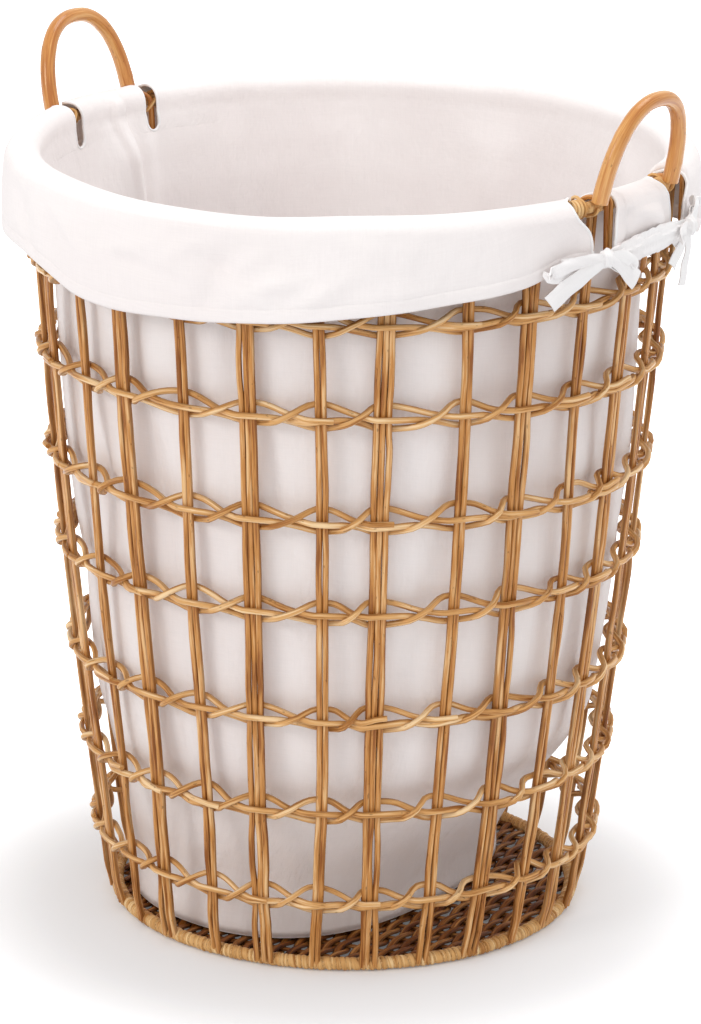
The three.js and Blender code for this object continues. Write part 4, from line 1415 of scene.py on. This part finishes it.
def gathered(degrees, keys, heights, depths):
    """Cloth drawn together to a thick wrinkled strip through keys, in millimetres."""
    knots = distances(keys)
    places = np.linspace(0, knots[-1], STRIP_STEPS)
    path = near_leg(degrees, *glide(places, knots, keys).T)
    strip = bend_rod(path, STRIP_ROD, (0, 0, 1), 32)
    corners = corners_of(strip.data)
    nearest = nearest_points(corners, path)
    offset = corners - path[nearest]
    out_way = unit(path[nearest] * [1, 1, 0])
    up, out = offset[:, 2] / STRIP_ROD, (offset * out_way).sum(axis=1) / STRIP_ROD
    around = np.arctan2(up, out)
    place = places[nearest]
    tall = glide(place, np.linspace(0, knots[-1], len(heights)), heights) / 2
    deep = glide(place, np.linspace(0, knots[-1], len(depths)), depths) / 2
    slip = 0.7 * np.sin(place * 0.16 + chance.uniform(0, 6)) + 0.4 * np.sin(place * 0.43)
    folds = 1 + 0.13 * np.sin(7 * around + slip) + 0.10 * np.sin(11 * around - 1.7 * slip + 1)
    along = offset - out_way * (offset * out_way).sum(axis=1)[:, None] - offset * [0, 0, 1]
    moved = path[nearest] + along + out_way * (out * folds * deep * MM)[:, None]
    moved[:, 2] = path[nearest, 2] + up * folds * tall * MM
    set_corners(strip.data, moved)
    return cotton_threads(strip)


def knot(degrees, centre, across, tall, deep):
    """A lump of tape with the folds of its last turn."""
    bpy.ops.object.select_all(action="DESELECT")
    bpy.ops.mesh.primitive_uv_sphere_add(segments=48, ring_count=32, radius=1)
    lump = bpy.context.object
    ball = corners_of(lump.data)
    turn = np.arctan2(ball[:, 1], ball[:, 2])
    folds = 1 + 0.10 * np.sin(ball[:, 0] * 9 + 1.3 * np.sin(turn))
    folds = folds + 0.05 * np.sin(5 * turn + 4 * ball[:, 0])
    waist = 1 - 0.16 * np.exp(-((np.abs(ball[:, 0]) - 0.75) / 0.15) ** 2)
    shape = ball * (folds * waist)[:, None] * [across / 2, tall / 2, deep / 2] + centre
    set_corners(lump.data, near_leg(degrees, *shape.T))
    far = np.full(len(ball), FAR_FROM_HEM)
    threads = [ball[:, 0] * across / 2 * MM, turn * tall / 2 * MM, far]
    write_layer(lump.data, "thread", np.column_stack(threads))
    return lump


def tie(name, degrees, parts):
    """Joins the parts of a tie, which are made by name from their keys."""
    made = []
    for kind, *values in parts:
        maker = {"tape": tape, "gathered": gathered, "knot": knot}[kind]
        made.append(maker(degrees, *values))
    return bundle(name, made, tape_cotton, 50)


print("tape, gathered strips and knots are ready")

# %% Tie the slots
# each part of a tie: its kind, its keys or centre, its widths or sizes, and where it faces
front_tie = [
    ("gathered", [(-34, -5, -1.5), (-22, -3, -0.5), (-10, -1, 1.0), (0, 0, 3)],
     (15, 12, 9, 7), (3.6, 4, 5, 5)),
    ("knot", (0, 0, 4), 13, 13, 9.5),
    ("tape", [(0, 0, 5), (-12, -4, 5.5), (-25, -11, 4.5), (-37, -19, 2.5), (-46, -26, 2)],
     (6, 10, 12, 13, 13)),
    ("tape", [(0, 0, 5), (9, -4, 6.5), (19, -11, 5.5), (30, -20, 4.5)], (6, 10, 13, 14)),
    ("tape", [(0, 0, 4), (-13, 2, 6.5), (-29, 1, 6.5), (-43, -3, 5), (-49, -6, 2.5), (-40, -8, 1.5),
              (-24, -6, 1.5), (-8, -4, 2), (0, 0, 4)], (6, 8, 9, 8, 6),
     [OUTWARDS, OUTWARDS, OUTWARDS, (0.3, 0.2, 1), (1, 0.2, 0.1), INWARDS, INWARDS, INWARDS, INWARDS]),
    ("tape", [(0, 0, 4), (9, 1, 6.5), (19, -3, 7), (24, -8, 5), (18, -9, 3), (8, -5, 3), (0, 0, 4)],
     (6, 8, 9, 8, 6), [OUTWARDS, OUTWARDS, (-0.3, 0.3, 1), (-1, 0.2, 0.1), INWARDS, INWARDS, INWARDS]),
]
back_tie = [
    ("gathered", [(29, 6, -1.5), (18, 6, 0.3), (6, 5, 3.0), (-4, 5, 4.2)],
     (17, 12, 9, 7), (3.6, 4, 4.4, 4.6)),
    ("knot", (-4, 5, 5.6), 12, 14, 9.5),
    ("tape", [(-4, 5, 5), (-4, -6, 5.5), (-3, -18, 4), (-5, -30, 3), (-6, -37, 2.5)], (6, 10, 12, 12)),
    ("tape", [(-4, 5, 4), (-11, -3, 5), (-19, -12, 4), (-25, -20, 3)], (6, 9, 11, 11)),
    ("tape", [(-4, 5, 4), (4, 12, 6), (9, 18, 6), (12, 19, 4), (9, 13, 2), (2, 7, 3), (-4, 5, 4)],
     (6, 9, 10, 9, 6), [OUTWARDS, OUTWARDS, (-0.2, -0.2, 1), (-1, -0.4, 0.1), INWARDS, INWARDS, INWARDS]),
    ("tape", [(-4, 5, 4), (-12, 6, 6), (-19, 3, 7), (-21, -2, 5), (-16, -4, 3), (-10, 0, 3), (-4, 5, 4)],
     (6, 8, 9, 8, 6), [OUTWARDS, OUTWARDS, (0.3, 0.3, 1), (1, 0.2, 0.1), INWARDS, INWARDS, INWARDS]),
]
span = math.radians(2 * LEG_ANGLE) * TIE_RADIUS / MM
band_keys = [(2, 0, 2.5), (span * 0.2, 0.5, 1.0), (span * 0.5, 2.5, 0.5), (span * 0.8, 4, 1.0),
             (span - 6, 5, 2.5)]
for end, degrees in (("right", 0), ("left", 180)):
    pieces = {
        f"tie_{end}_{'front' if end == 'right' else 'back'}": front_tie,
        f"tie_{end}_{'back' if end == 'right' else 'front'}": back_tie,
    }
    for name, parts in pieces.items():
        piece = tie(name, SLOTS[name.removeprefix("tie_")], parts)
        stand_for(piece, name.replace("tie", "bow"), "liner")
    band = gathered(degrees - LEG_ANGLE, band_keys, (8, 14, 17, 15, 9), (5, 5.5, 5, 5.5, 5))
    band = bundle(f"tab_band_{end}", [band], tape_cotton, 50)
    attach(band, "liner")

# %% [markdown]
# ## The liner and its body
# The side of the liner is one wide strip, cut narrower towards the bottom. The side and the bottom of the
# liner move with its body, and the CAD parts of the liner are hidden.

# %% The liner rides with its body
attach(liner, "liner")
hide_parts("liner_side_panel", "liner_cuff_front", "liner_cuff_back", "liner_tab_right",
            "liner_tab_left")
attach(bag_floor, "liner")
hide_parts("liner_bottom_panel")
